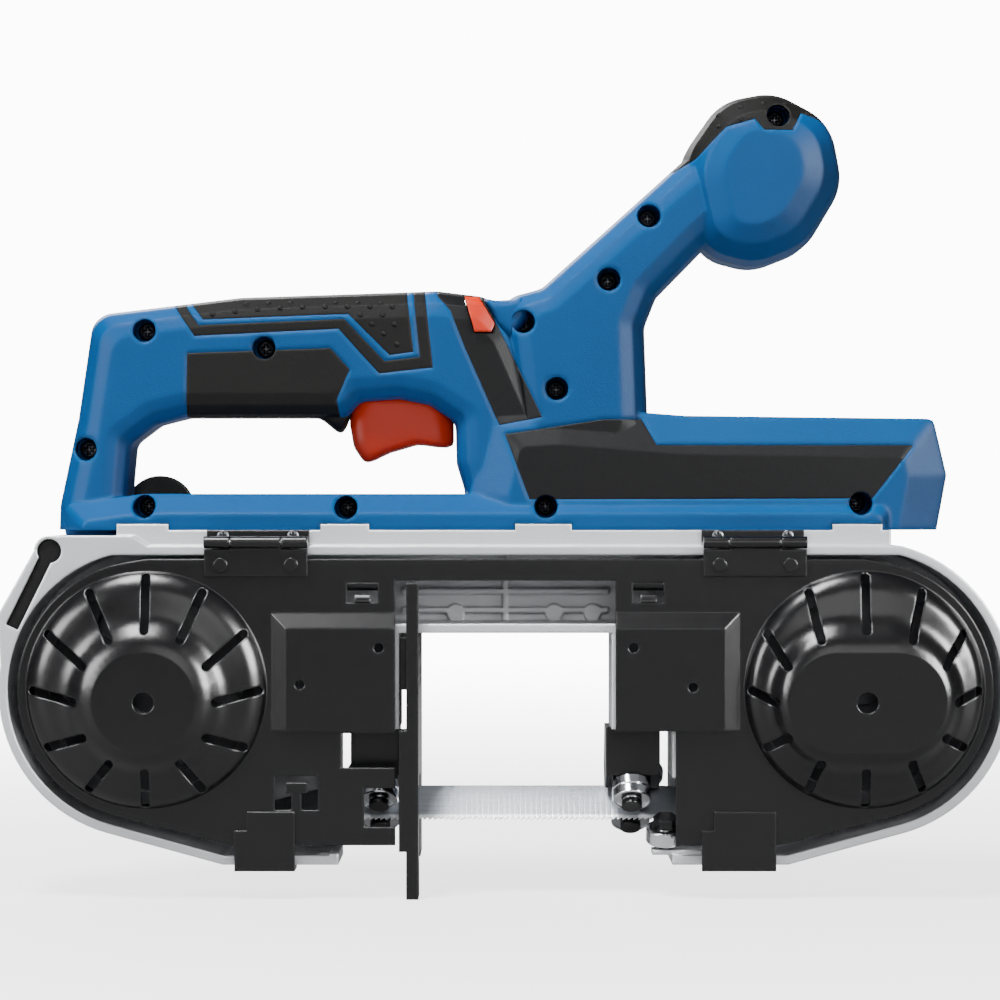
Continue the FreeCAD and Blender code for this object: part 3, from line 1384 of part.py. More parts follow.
def make_stop_roller():
    """Small bearing in front of the teeth, its bore running on a tilted bolt."""
    start = stop_roller_point(-STOP_ROLLER_WIDTH / 2)
    body = bar(start, STOP_ROLLER_AXIS, STOP_ROLLER_RADIUS, STOP_ROLLER_WIDTH)
    bore = bar(
        stop_roller_point(-STOP_ROLLER_WIDTH), STOP_ROLLER_AXIS, STOP_BOLT_RADIUS + RUNNING_FIT,
        STOP_ROLLER_WIDTH * 2,
    )
    return body.cut(bore)


def hexagon(radius):
    """Corners of a hexagon about the origin."""
    return [(radius * math.cos(math.tau * i / 6), radius * math.sin(math.tau * i / 6)) for i in range(6)]


def make_stop_bolt():
    """Hexagon bolt of the stop roller, its end in the bracket."""
    seat = STOP_ROLLER_WIDTH / 2 + ROLLER_GAP
    shank = bar(stop_roller_point(seat), -STOP_ROLLER_AXIS, STOP_BOLT_RADIUS, seat + STOP_BOLT_LENGTH)
    head = slab(hexagon(STOP_BOLT_HEAD), 0, STOP_BOLT_HEAD_HEIGHT)
    return fuse([shank, turn_to(head, YAXIS, STOP_ROLLER_AXIS, stop_roller_point(seat))])


keep("stop_roller", make_stop_roller())
pins = make_side_pins() + [thrust_pin(side) for side in (-1, 1)] + [make_stop_bolt()]
keep("roller_pins", Part.makeCompound(pins))


def make_wheel(x, bore):
    """Cast wheel with a rim, a pierced web and a hub."""
    rim = ring(x, 0, TYRE_SEAT, TYRE_SEAT - WHEEL_RIM, WHEEL_FRONT_Y, WHEEL_BACK_Y)
    web = rod(
        x, 0, TYRE_SEAT - WHEEL_RIM / 2, WHEEL_MIDDLE_Y - WHEEL_WEB / 2, WHEEL_MIDDLE_Y + WHEEL_WEB / 2
    )
    hub = rod(x, 0, HUB_RADIUS, WHEEL_FRONT_Y, HUB_BACK_Y)
    tools = [rod(x, 0, bore, WHEEL_FRONT_Y - OVER, HUB_BACK_Y + OVER)]
    for i in range(WHEEL_HOLES):
        angle = math.tau * (i / WHEEL_HOLES)
        spot = (x + WHEEL_HOLE_PITCH * math.cos(angle), WHEEL_HOLE_PITCH * math.sin(angle))
        tools.append(rod(spot[0], spot[1], WHEEL_HOLE_RADIUS, WHEEL_FRONT_Y, WHEEL_BACK_Y))
    return fuse([rim, web, hub]).cut(tools)


def make_tyre(x):
    """Rubber tyre on the seat of a wheel."""
    return ring(x, 0, WHEEL_RADIUS, TYRE_SEAT, WHEEL_FRONT_Y + TYRE_SIDE, WHEEL_BACK_Y - TYRE_SIDE)


def make_drive_shaft():
    """Shaft of the driven wheel with a threaded hole for the wheel bolt."""
    shaft = rod(RIGHT_X, 0, SHAFT_RADIUS, WHEEL_FRONT_Y, REAR_POCKET_Y - CLEAR)
    return shaft.cut(rod(RIGHT_X, 0, BOLT_RADIUS, WHEEL_FRONT_Y - OVER, WHEEL_FRONT_Y + BOLT_LENGTH))


def make_drive_bolt():
    """Hexagon bolt and washer that hold the driven wheel."""
    washer = rod(RIGHT_X, 0, WASHER_RADIUS, WHEEL_FRONT_Y - WASHER, WHEEL_FRONT_Y)
    corners = [(RIGHT_X + x, z) for x, z in hexagon(BOLT_HEAD)]
    head = slab(corners, WHEEL_FRONT_Y - WASHER - BOLT_HEAD_HEIGHT, WHEEL_FRONT_Y - WASHER)
    shank = rod(RIGHT_X, 0, BOLT_RADIUS, WHEEL_FRONT_Y - WASHER, WHEEL_FRONT_Y + BOLT_LENGTH)
    return fuse([washer, head, shank])


def make_axle():
    """Headed axle of the idler wheel, pressed into the tension slide."""
    front = WHEEL_FRONT_Y - AXLE_HEAD_GAP
    stem = rod(LEFT_X, 0, SHAFT_RADIUS, front, SLIDE_BACK_Y)
    return fuse([stem, rod(LEFT_X, 0, AXLE_HEAD, front - AXLE_HEAD_HEIGHT, front)])


def make_idler_bearings():
    """Two bearings in the hub of the idler wheel."""
    starts = (WHEEL_FRONT_Y + AXLE_HEAD_GAP, HUB_BACK_Y - BEARING_WIDTH - OVER)
    bore = SHAFT_RADIUS + RUNNING_FIT
    return Part.makeCompound(
        [ring(LEFT_X, 0, BEARING_RADIUS, bore, y, y + BEARING_WIDTH) for y in starts]
    )


keep("drive_wheel", make_wheel(RIGHT_X, SHAFT_RADIUS))
keep("drive_tyre", make_tyre(RIGHT_X))
keep("drive_bolt", make_drive_bolt())
keep("idler_wheel", make_wheel(LEFT_X, BEARING_RADIUS))
keep("idler_tyre", make_tyre(LEFT_X))
keep("idler_bearings", make_idler_bearings())
keep("idler_axle", make_axle())


def make_slide():
    """Block that carries the idler axle and slides between the rails."""
    x0 = LEFT_X - SLIDE_LENGTH / 2
    block = box(
        x0, x0 + SLIDE_LENGTH, WEB_BACK_Y + SLIDE_CLEAR, SLIDE_BACK_Y, -SLIDE_HEIGHT / 2, SLIDE_HEIGHT / 2
    )
    return block.cut(rod(LEFT_X, 0, SHAFT_RADIUS, WEB_BACK_Y, SLIDE_BACK_Y + OVER))


def make_slide_plate():
    """Plate on the rails that keeps the slide against the web."""
    high = SLIDE_HEIGHT / 2 + SLIDE_CLEAR + RAIL_HEIGHT
    front = SLIDE_BACK_Y + SLIDE_CLEAR
    plate = box(LEFT_X - RAIL_LEFT, LEFT_X + RAIL_RIGHT, front, PLATE_BACK_Y, -high, high)
    return plate.cut(
        [rod(x, z, SLIDE_SCREW_RADIUS, front - OVER, PLATE_BACK_Y + OVER) for x, z in slide_screw_places()],
    )


def make_lever():
    """Tension lever: pin in the web, eccentric cam against the slide and the arm on the far side."""
    angle = math.radians(CAM_REST_ANGLE)
    cam_y = WEB_BACK_Y + CLEAR
    arm_y = PLATE_BACK_Y + CLEAR
    pin = rod(CAM_X, 0, CAM_PIN_RADIUS, WEB_FRONT_Y - CLIP_RING - CLEAR - CLEAR, cam_y)
    cam = rod(
        CAM_X + CAM_THROW * math.cos(angle), CAM_THROW * math.sin(angle), CAM_RADIUS, cam_y, SLIDE_BACK_Y
    )
    hub = rod(CAM_X, 0, LEVER_HUB, cam_y, arm_y + LEVER_ARM_DEPTH)
    width = LEVER_ARM_WIDTH / 2
    arm = box(CAM_X, CAM_X + LEVER_ARM, arm_y, arm_y + LEVER_ARM_DEPTH, -width, width)
    tip = rod(CAM_X + LEVER_ARM, 0, LEVER_TIP, arm_y, arm_y + LEVER_ARM_DEPTH)
    return fuse([pin, cam, hub, arm, tip])


keep("tension_slide", make_slide())
keep("slide_plate", make_slide_plate())
keep("tension_lever", make_lever())
keep(
    "lever_clip",
    ring(
        CAM_X, 0, CLIP_RING_RADIUS, CAM_PIN_RADIUS, WEB_FRONT_Y - CLIP_RING - CLEAR, WEB_FRONT_Y - CLEAR
    ),
)


def mesh_angle(from_x, from_z, to_x, to_z):
    """Angle of the line from one gear axis to another."""
    return math.atan2(to_z - from_z, to_x - from_x)


def shell_lug_places():
    """Lugs at the foot of the motor shell, as x and z."""
    spots = []
    for degrees in SHELL_LUG_ANGLES:
        angle = math.radians(degrees)
        spots.append(
            (MOTOR_X + SHELL_LUG_REACH * math.cos(angle), MOTOR_Z + SHELL_LUG_REACH * math.sin(angle))
        )
    return spots


def make_output_gear():
    """Gear on the drive shaft, in mesh with the pinion of the lay shaft."""
    toward = mesh_angle(LAY_X, LAY_Z, RIGHT_X, 0)
    turn = toward + math.pi + math.pi / SECOND_GEAR_TEETH
    wheel = gear(
        RIGHT_X, 0, GEAR_MODULE_TWO, SECOND_GEAR_TEETH, turn, SECOND_GEAR_Y, SECOND_GEAR_Y + GEAR_FACE
    )
    return wheel.cut(
        rod(RIGHT_X, 0, SHAFT_RADIUS, SECOND_GEAR_Y - OVER, SECOND_GEAR_Y + GEAR_FACE + OVER)
    )


def make_lay_shaft():
    """Lay shaft: the large first gear, the pinion of the second stage and the shaft in one piece."""
    toward = mesh_angle(LAY_X, LAY_Z, RIGHT_X, 0)
    pinion = gear(LAY_X, LAY_Z, GEAR_MODULE_TWO, PINION_TEETH, toward, SECOND_GEAR_Y, FIRST_GEAR_Y)
    turn = mesh_angle(MOTOR_X, MOTOR_Z, LAY_X, LAY_Z) + math.pi + math.pi / FIRST_GEAR_TEETH
    wheel = gear(
        LAY_X, LAY_Z, GEAR_MODULE_ONE, FIRST_GEAR_TEETH, turn, FIRST_GEAR_Y, FIRST_GEAR_Y + GEAR_FACE
    )
    front = WEB_BACK_Y + OVER - SMALL_BEARING_WIDTH + CLEAR
    return fuse([pinion, wheel, rod(LAY_X, LAY_Z, SMALL_SHAFT_RADIUS, front, SMALL_POCKET_Y - CLEAR)])


def make_rotor():
    """Motor rotor with its shaft and pinion."""
    turn = mesh_angle(MOTOR_X, MOTOR_Z, LAY_X, LAY_Z)
    pinion = gear(
        MOTOR_X, MOTOR_Z, GEAR_MODULE_ONE, PINION_TEETH, turn, FIRST_GEAR_Y, FIRST_GEAR_Y + GEAR_FACE
    )
    core = rod(
        MOTOR_X, MOTOR_Z, ROTOR_RADIUS, COVER_BACK_Y + ROTOR_INSET, MOTOR_BACK_Y - CAN_END - ROTOR_INSET
    )
    shaft = rod(MOTOR_X, MOTOR_Z, SMALL_SHAFT_RADIUS, FIRST_GEAR_Y, MOTOR_BACK_Y + FAN_GAP + FAN_DEPTH)
    return fuse([pinion, core, shaft])


def make_can():
    """Motor can with the stator ring inside and the bearing plate at its far end."""
    body = ring(
        MOTOR_X, MOTOR_Z, MOTOR_RADIUS, ROTOR_RADIUS + ROTOR_GAP, COVER_BACK_Y, MOTOR_BACK_Y - CAN_END
    )
    plate = ring(
        MOTOR_X, MOTOR_Z, MOTOR_RADIUS, SMALL_BEARING_RADIUS, MOTOR_BACK_Y - CAN_END, MOTOR_BACK_Y
    )
    return fuse([body, plate])


def make_fan():
    """Cooling fan on the far end of the rotor shaft."""
    y0 = MOTOR_BACK_Y + FAN_GAP
    hub = rod(MOTOR_X, MOTOR_Z, FAN_HUB, y0, y0 + FAN_DEPTH)
    disc = rod(MOTOR_X, MOTOR_Z, FAN_RADIUS, y0, y0 + FAN_SHEET)
    pieces = [hub, disc]
    for i in range(FAN_BLADES):
        blade = box(0, FAN_RADIUS - OVER, y0, y0 + FAN_DEPTH, -FAN_SHEET / 2, FAN_SHEET / 2)
        blade.rotate(Vector(0, 0, 0), YAXIS, math.degrees(math.tau) * i / FAN_BLADES)
        blade.translate(Vector(MOTOR_X, 0, MOTOR_Z))
        pieces.append(blade)
    return fuse(pieces).cut(rod(MOTOR_X, MOTOR_Z, SMALL_SHAFT_RADIUS, y0 - OVER, y0 + FAN_DEPTH + OVER))


def make_motor_shell():
    """Plastic motor shell: a cup over the can, vents in its end and two lugs at its foot."""
    wall_y = SHELL_BACK_Y - SHELL_WALL
    tube = rod(MOTOR_X, MOTOR_Z, SHELL_RADIUS, COVER_BACK_Y, wall_y)
    end = Part.makeCone(SHELL_RADIUS, SHELL_BORE, SHELL_WALL, Vector(MOTOR_X, wall_y, MOTOR_Z), YAXIS)
    lugs = [
        rod(x, z, SHELL_LUG_RADIUS, COVER_BACK_Y, COVER_BACK_Y + SHELL_LUG_DEPTH)
        for x, z in shell_lug_places()
    ]
    tools = [rod(MOTOR_X, MOTOR_Z, SHELL_BORE, COVER_BACK_Y - OVER, wall_y)]
    tools += [
        rod(x, z, CASE_SCREW_RADIUS, COVER_BACK_Y - OVER, SHELL_BACK_Y) for x, z in shell_lug_places()
    ]
    for i in range(SHELL_VENTS):
        half = SHELL_VENT_WIDTH / 2
        vent = box(SHELL_VENT_INNER, SHELL_VENT_OUTER, wall_y - OVER, SHELL_BACK_Y + OVER, -half, half)
        side = box(SHELL_BORE - OVER, SHELL_RADIUS + OVER, MOTOR_BACK_Y, wall_y - OVER, -half, half)
        for tool in (vent, side):
            tool.rotate(Vector(0, 0, 0), YAXIS, math.degrees(math.tau) * i / SHELL_VENTS)
            tool.translate(Vector(MOTOR_X, 0, MOTOR_Z))
            tools.append(tool)
    return fuse([tube, end] + lugs).cut(tools)


def make_case_cover():
    """Cover of the gear case with the far bearing pockets; the motor stands on it."""
    plate = case_rounds(CASE_WALL, CASE_BACK_Y, COVER_BACK_Y)
    pad = rod(MOTOR_X, MOTOR_Z, SHELL_RADIUS, CASE_BACK_Y, COVER_BACK_Y)
    ears = [rod(x, z, CASE_EAR_RADIUS, CASE_BACK_Y, COVER_BACK_Y) for x, z in case_ears()]
    boss_y = REAR_POCKET_Y - REAR_BEARING_WIDTH - OVER / 2
    boss = rod(RIGHT_X, 0, REAR_BOSS_RADIUS, boss_y, CASE_BACK_Y + OVER)
    whole = fuse([plate, pad, boss] + ears)
    tools = [
        rod(RIGHT_X, 0, REAR_BEARING_RADIUS, boss_y - OVER, REAR_POCKET_Y),
        rod(LAY_X, LAY_Z, SMALL_BEARING_RADIUS, CASE_BACK_Y - OVER, SMALL_POCKET_Y),
        rod(MOTOR_X, MOTOR_Z, SMALL_BEARING_RADIUS, CASE_BACK_Y - OVER, SMALL_POCKET_Y),
        rod(MOTOR_X, MOTOR_Z, SMALL_SHAFT_RADIUS + OVER, CASE_BACK_Y, COVER_BACK_Y + OVER),
    ]
    for x, z in case_ears():
        tools.append(rod(x, z, CASE_SCREW_RADIUS, CASE_BACK_Y - OVER, COVER_BACK_Y))
        tools.append(
            rod(x, z, CASE_SCREW_HEAD, COVER_BACK_Y - CASE_SCREW_HEAD_DEPTH, COVER_BACK_Y + OVER)
        )
    tools += [
        rod(x, z, CASE_SCREW_RADIUS, CASE_BACK_Y + OVER / 2, COVER_BACK_Y + OVER)
        for x, z in shell_lug_places()
    ]
    return whole.cut(tools)


def make_small_bearings():
    """Four small bearings: both ends of the lay shaft and of the rotor."""
    bore = SMALL_SHAFT_RADIUS + RUNNING_FIT
    front = WEB_BACK_Y + OVER - SMALL_BEARING_WIDTH
    spots = (
        (LAY_X, LAY_Z, front),
        (LAY_X, LAY_Z, CASE_BACK_Y),
        (MOTOR_X, MOTOR_Z, CASE_BACK_Y),
        (MOTOR_X, MOTOR_Z, MOTOR_BACK_Y - SMALL_BEARING_WIDTH),
    )
    return Part.makeCompound(
        [ring(x, z, SMALL_BEARING_RADIUS, bore, y, y + SMALL_BEARING_WIDTH) for x, z, y in spots]
    )


def make_drive_bearings():
    """Two bearings of the drive shaft: in the boss of the frame and in the case cover."""
    bore = SHAFT_RADIUS + RUNNING_FIT
    front = ring(RIGHT_X, 0, BEARING_RADIUS, bore, DRIVE_BEARING_Y, DRIVE_BEARING_Y + BEARING_WIDTH)
    rear_y = REAR_POCKET_Y - REAR_BEARING_WIDTH
    return Part.makeCompound([front, ring(RIGHT_X, 0, REAR_BEARING_RADIUS, bore, rear_y, REAR_POCKET_Y)])


keep("drive_shaft", make_drive_shaft())
keep("drive_bearings", make_drive_bearings())
keep("output_gear", make_output_gear())
keep("lay_shaft", make_lay_shaft())
keep("small_bearings", make_small_bearings())
keep("motor_can", make_can())
keep("motor_rotor", make_rotor())
keep("motor_fan", make_fan())
keep("motor_shell", make_motor_shell())
keep("gear_case_cover", make_case_cover())


def px_x(px):
    """X of a picture column on the split plane."""
    return (px - MIDDLE_PX) * PIXEL


def px_z(py):
    """Z of a picture row on the split plane."""
    return SADDLE_TOP + (SADDLE_PX - py) * PIXEL


def opening(shrink):
    """Tool for the hand opening: straight in the middle, flared towards both faces."""
    points = inset(picture(OPENING_PX), -shrink)
    half = HANDLE_HALF - shrink
    stations = [(-half - OVER, inset(points, -OPENING_FLARE - OVER))]
    for deep, outward in ROUND_STEPS_SHARES:
        stations.append((deep * OPENING_FLARE_DEPTH - half, inset(points, -outward * OPENING_FLARE)))
    wires = [rounded(shape, OPENING_ROUND, y) for y, shape in stations]
    wires += [rounded(shape, OPENING_ROUND, -y) for y, shape in reversed(stations)]
    return Part.makeLoft(wires, True, True)


def blocks(shrink):
    """Outer form of the body moved inwards by a distance: handle, body, neck and knob in one."""
    shapes = []
    for points, half, bevel, depth, radius, steps in (
        (HANDLE_PX, HANDLE_HALF, HANDLE_BEVEL, HANDLE_BEVEL_DEPTH, HANDLE_ROUND, ROUND_STEPS_SHARES),
        (BEAM_PX, BEAM_HALF, BEAM_BEVEL, BEAM_BEVEL_DEPTH, BODY_ROUND, FACET_STEPS_SHARES),
        (BODY_PX, BODY_HALF, BODY_BEVEL, BODY_BEVEL_DEPTH, BODY_ROUND, FACET_STEPS_SHARES),
        (NECK_PX, NECK_HALF, HANDLE_BEVEL, HANDLE_BEVEL_DEPTH, HANDLE_ROUND, ROUND_STEPS_SHARES),
        (KNOB_PX, KNOB_HALF, KNOB_BEVEL, KNOB_BEVEL_DEPTH, KNOB_ROUND, ROUND_STEPS_SHARES),
    ):
        shapes.append(pillow(inset(picture(points), shrink), half - shrink, bevel, depth, radius, steps))
    shapes[0] = shapes[0].cut(opening(shrink))
    whole = shapes[0].fuse(shapes[1:])
    reach = WHEEL_SPACING
    floor = SADDLE_TOP + shrink if shrink > 0 else SADDLE_TOP
    return whole.cut(box(-reach, reach, -reach, reach, -reach, floor))


def region(points, grow):
    """Prism of a picture outline through the whole width of the body, grown by a distance."""
    flat = picture(points)
    return prism(inset(flat, -grow) if grow else flat, BEAM_HALF * 2)


def screw_places():
    """Screws of the body halves, as x and z."""
    return [(px_x(px), px_z(py)) for px, py in SCREWS_PX]


def make_skins(outer, core):
    """Grip, band, knob and side skins: the outer layer of the body inside their picture outlines."""
    layer = outer.cut(core)
    wells = [rod(x, z, SCREW_WELL, -BEAM_HALF - OVER, SCREW_SEAT_Y) for x, z in screw_places()]
    holes = wells + [region(BUTTON_PX, CLEAR), trigger_slot()]
    skins = {}
    for name, points in (
        ("grip_top", GRIP_TOP_PX),
        ("grip_lower", GRIP_LOWER_PX),
        ("neck_band", BAND_PX),
        ("front_grip", FRONT_GRIP_PX),
        ("side_panels", PANEL_PX),
    ):
        skins[name] = layer.common(region(points, 0)).cut(holes)
    groove_ring = region(GRIP_GROOVE_PX, 0).cut(region(GRIP_PAD_PX, 0))
    skins["grip_top"] = skins["grip_top"].cut(groove_ring)
    return skins


def trigger_slot():
    """Slot in the underside of the grip for the trigger."""
    return prism(picture(TRIGGER_SLOT_PX), TRIGGER_HALF + CLEAR)


def recess(grow):
    """Battery recess in the top of the body, open towards the battery end."""
    z0 = px_z(SOCKET_FLOOR_PX) - grow
    x0 = px_x(SOCKET_LEFT_PX) - grow
    return box(x0, WHEEL_SPACING, -SOCKET_HALF - grow, SOCKET_HALF + grow, z0, z0 + SOCKET_HALF + grow)


def make_housing(outer, skins):
    """Both halves of the body as one hollow solid, still undivided."""
    bosses = [rod(x, z, SCREW_BOSS, -BEAM_HALF, BEAM_HALF) for x, z in screw_places()]
    bosses += [
        bar(Vector(x, SADDLE_SCREW_Y, SADDLE_TOP), ZAXIS, SADDLE_BOSS, SADDLE_SCREW_LENGTH + SHELL)
        for x in saddle_screw_places()
    ]
    hollow = blocks(SHELL).cut(recess(SOCKET_FLOOR))
    for boss in bosses:
        hollow = hollow.cut(boss)
    tools = [hollow, recess(0), trigger_slot(), region(BUTTON_PX, CLEAR)]
    for x, z in screw_places():
        tools.append(rod(x, z, SCREW_WELL, -BEAM_HALF - OVER, SCREW_SEAT_Y))
        tools.append(rod(x, z, SCREW_RADIUS, SCREW_SEAT_Y - OVER, SCREW_END_Y))
    for x in saddle_screw_places():
        tools.append(
            bar(Vector(x, SADDLE_SCREW_Y, SADDLE_TOP - OVER), ZAXIS, SCREW_RADIUS, SADDLE_SCREW_LENGTH)
        )
    for left_px, right_px in LUG_SPANS_PX:
        x0 = px_x(left_px) - CLEAR
        x1 = px_x(right_px) + CLEAR
        front = SADDLE_FRONT_Y - OVER
        back = SADDLE_FRONT_Y + LUG_DEPTH + CLEAR
        tools.append(box(x0, x1, front, back, SADDLE_TOP - OVER, SADDLE_TOP + LUG_HEIGHT + CLEAR))
    x, z = px_x(HOOK_PX[0]), px_z(HOOK_PX[1])
    tools.append(
        rod(x, z, HOOK_SCREW_RADIUS, BEAM_HALF + CLEAR - HOOK_SCREW_LENGTH + HOOK_DISC, BEAM_HALF + OVER)
    )
    return outer.cut(tools).cut(list(skins.values()))


def make_trigger():
    """Trigger blade with a wider head that keeps it in the grip."""
    blade = prism(picture(TRIGGER_PX), TRIGGER_HALF)
    return fuse([blade, prism(picture(TRIGGER_HEAD_PX), TRIGGER_HEAD_HALF)])


def make_button():
    """Lock-off button through the handle, a little proud of both faces."""
    points = inset(picture(HANDLE_PX), -BUTTON_PROUD)
    half = HANDLE_HALF + BUTTON_PROUD
    form = pillow(points, half, HANDLE_BEVEL, HANDLE_BEVEL_DEPTH, HANDLE_ROUND, ROUND_STEPS_SHARES)
    return region(BUTTON_PX, 0).common(form)


def make_socket():
    """Battery rail tray: base, side walls and inward lips."""
    x0 = px_x(SOCKET_LEFT_PX)
    x1 = px_x(SOCKET_END_PX) - SOCKET_LIP
    z0 = px_z(SOCKET_FLOOR_PX)
    pieces = [box(x0, x1, -SOCKET_HALF, SOCKET_HALF, z0, z0 + SOCKET_BASE)]
    for side in (-1, 1):
        outer = side * SOCKET_HALF
        inner = side * (SOCKET_HALF - SOCKET_WALL)
        lip = side * (SOCKET_HALF - SOCKET_WALL - SOCKET_LIP)
        top = z0 + SOCKET_HEIGHT
        pieces.append(box(x0, x1, min(outer, inner), max(outer, inner), z0, top))
        pieces.append(box(x0, x1, min(outer, lip), max(outer, lip), top - SOCKET_LIP_HEIGHT, top))
    return fuse(pieces)


def make_terminal_block():
    """Insulating block at the closed end of the tray with slots for the blades."""
    x0 = px_x(SOCKET_LEFT_PX)
    z0 = px_z(SOCKET_FLOOR_PX) + SOCKET_BASE
    block = box(x0, x0 + TERMINAL_LENGTH, -TERMINAL_HALF, TERMINAL_HALF, z0, z0 + TERMINAL_HEIGHT)
    return block.cut(terminal_blades())


def terminal_blades():
    """Upright contact blades that stand out of the block towards the battery."""
    x0 = px_x(SOCKET_LEFT_PX) + TERMINAL_LENGTH / 2
    z0 = px_z(SOCKET_FLOOR_PX) + SOCKET_BASE + (TERMINAL_HEIGHT - TERMINAL_BLADE_HEIGHT) / 2
    half = TERMINAL_BLADE / 2
    return [
        box(
            x0, x0 + TERMINAL_BLADE_LENGTH, y - half, y + half, z0, z0 + TERMINAL_BLADE_HEIGHT
        ) for y in TERMINAL_YS
    ]


def make_hook():
    """Hang hook on the far side: a disc on its pivot, a bent wire arm lying along the beam."""
    x, z = px_x(HOOK_PX[0]), px_z(HOOK_PX[1])
    y0 = BEAM_HALF + CLEAR
    disc = rod(x, z, HOOK_RADIUS, y0, y0 + HOOK_DISC)
    wire_y = y0 + HOOK_WIRE
    start = Vector(x + HOOK_ARM_START, wire_y, z - HOOK_WIRE / 2)
    arm = bar(start, XAXIS, HOOK_WIRE, HOOK_LENGTH - HOOK_ARM_START)
    elbow = Part.makeSphere(HOOK_WIRE, Vector(x + HOOK_LENGTH, wire_y, z - HOOK_WIRE / 2))
    prong = bar(Vector(x + HOOK_LENGTH, wire_y, z - HOOK_WIRE / 2), YAXIS, HOOK_WIRE, HOOK_PRONG)
    whole = fuse([disc, arm, elbow, prong])
    return whole.cut(rod(x, z, HOOK_SCREW_RADIUS + RUNNING_FIT, y0 - OVER, y0 + HOOK_DISC + HOOK_WIRE))


def make_housing_screws():
    """Screws that join the body halves, sunk in their wells."""
    screws = []
    for x, z in screw_places():
        shank = rod(x, z, SCREW_RADIUS, SCREW_SEAT_Y, SCREW_END_Y)
        screws.append(
            fuse([shank, rod(x, z, SCREW_HEAD, SCREW_SEAT_Y - SCREW_HEAD_HEIGHT, SCREW_SEAT_Y)])
        )
    return Part.makeCompound(screws)


def make_frame_screws():
    """Screws of case cover, slide plate, guide holders, work stop, motor shell, saddle and hook."""
    screws = []
    for x, z in case_ears():
        seat = COVER_BACK_Y - CASE_SCREW_HEAD_DEPTH
        shank = rod(x, z, CASE_SCREW_RADIUS, seat - CASE_SCREW_LENGTH, seat)
        screws.append(fuse([shank, rod(x, z, CASE_SCREW_HEAD, seat, COVER_BACK_Y)]))
    for x, z in shell_lug_places():
        seat = COVER_BACK_Y + SHELL_LUG_DEPTH
        screws.append(
            pan_screw(
                Vector(x, seat, z), -YAXIS, CASE_SCREW_RADIUS, CASE_SCREW_HEAD,
                SHELL_LUG_DEPTH + CASE_COVER - OVER,
            )
        )
    for x, z in slide_screw_places():
        length = PLATE_BACK_Y - WEB_BACK_Y - OVER
        screws.append(
            pan_screw(
                Vector(x, PLATE_BACK_Y, z), -YAXIS, SLIDE_SCREW_RADIUS, SLIDE_SCREW_HEAD, length
            )
        )
    for x, y in holder_screw_places():
        seat = Vector(x, y, FRAME_WALL - STEP_DROP)
        screws.append(
            pan_screw(seat, -ZAXIS, HOLDER_SCREW_RADIUS, HOLDER_SCREW_HEAD, HOLDER_SCREW_LENGTH - OVER)
        )
    for y, z in stop_screw_places():
        seat = Vector(STOP_X + STOP_THICKNESS - STOP_SCREW_SINK, y, z)
        length = STOP_THICKNESS - STOP_SCREW_SINK + THROAT_HALF + STOP_X + FRAME_WALL
        screws.append(pan_screw(seat, -XAXIS, STOP_SCREW_RADIUS, STOP_SCREW_HEAD, length))
    for x in saddle_screw_places():
        seat = Vector(x, SADDLE_SCREW_Y, SADDLE_TOP - FRAME_WALL)
        length = FRAME_WALL + SADDLE_SCREW_LENGTH - OVER - OVER
        screws.append(pan_screw(seat, ZAXIS, SCREW_RADIUS, SCREW_HEAD, length))
    x, z = px_x(HOOK_PX[0]), px_z(HOOK_PX[1])
    seat = BEAM_HALF + CLEAR + HOOK_DISC + CLEAR
    screws.append(
        pan_screw(Vector(x, seat, z), -YAXIS, HOOK_SCREW_RADIUS, HOOK_SCREW_HEAD, HOOK_SCREW_LENGTH)
    )
    return Part.makeCompound(screws)


outer_form = blocks(0)
skins = make_skins(outer_form, blocks(SKIN))
housing = make_housing(outer_form, skins)
far = WHEEL_SPACING * 2
keep("housing_front", housing.common(box(-far, far, -far, 0, -far, far)))
keep("housing_back", housing.common(box(-far, far, 0, far, -far, far)))
for name, shape in skins.items():
    keep(name, shape)
keep("housing_screws", make_housing_screws())
keep("frame_screws", make_frame_screws())
keep("trigger", make_trigger())
keep("lock_off_button", make_button())
keep("switch_module", prism(picture(SWITCH_PX), HANDLE_HALF - SHELL))
keep(
    "control_module",
    box(
        px_x(CONTROL_LEFT_PX),
        px_x(CONTROL_RIGHT_PX),
        -CONTROL_HALF,
        CONTROL_HALF,
        SADDLE_TOP + SHELL,
        SADDLE_TOP + SHELL + CONTROL_HEIGHT,
    ),
)
keep("battery_socket", make_socket())
keep("terminal_block", make_terminal_block())
keep("terminal_blades", Part.makeCompound(terminal_blades()))
keep("hang_hook", make_hook())


os.makedirs("parts", exist_ok=True)
for node, shape in PARTS.items():
    solid = shape.Solids[0] if len(shape.Solids) == 1 else Part.makeCompound(shape.Solids)
    solid.translate(ORIGIN)
    print(node, len(shape.Solids), round(solid.Volume), solid.isValid())
    solid.exportStep("parts/" + node + ".step")
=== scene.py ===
import json
import math

import bpy
import numpy as np
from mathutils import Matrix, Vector
from mathutils.bvhtree import BVHTree


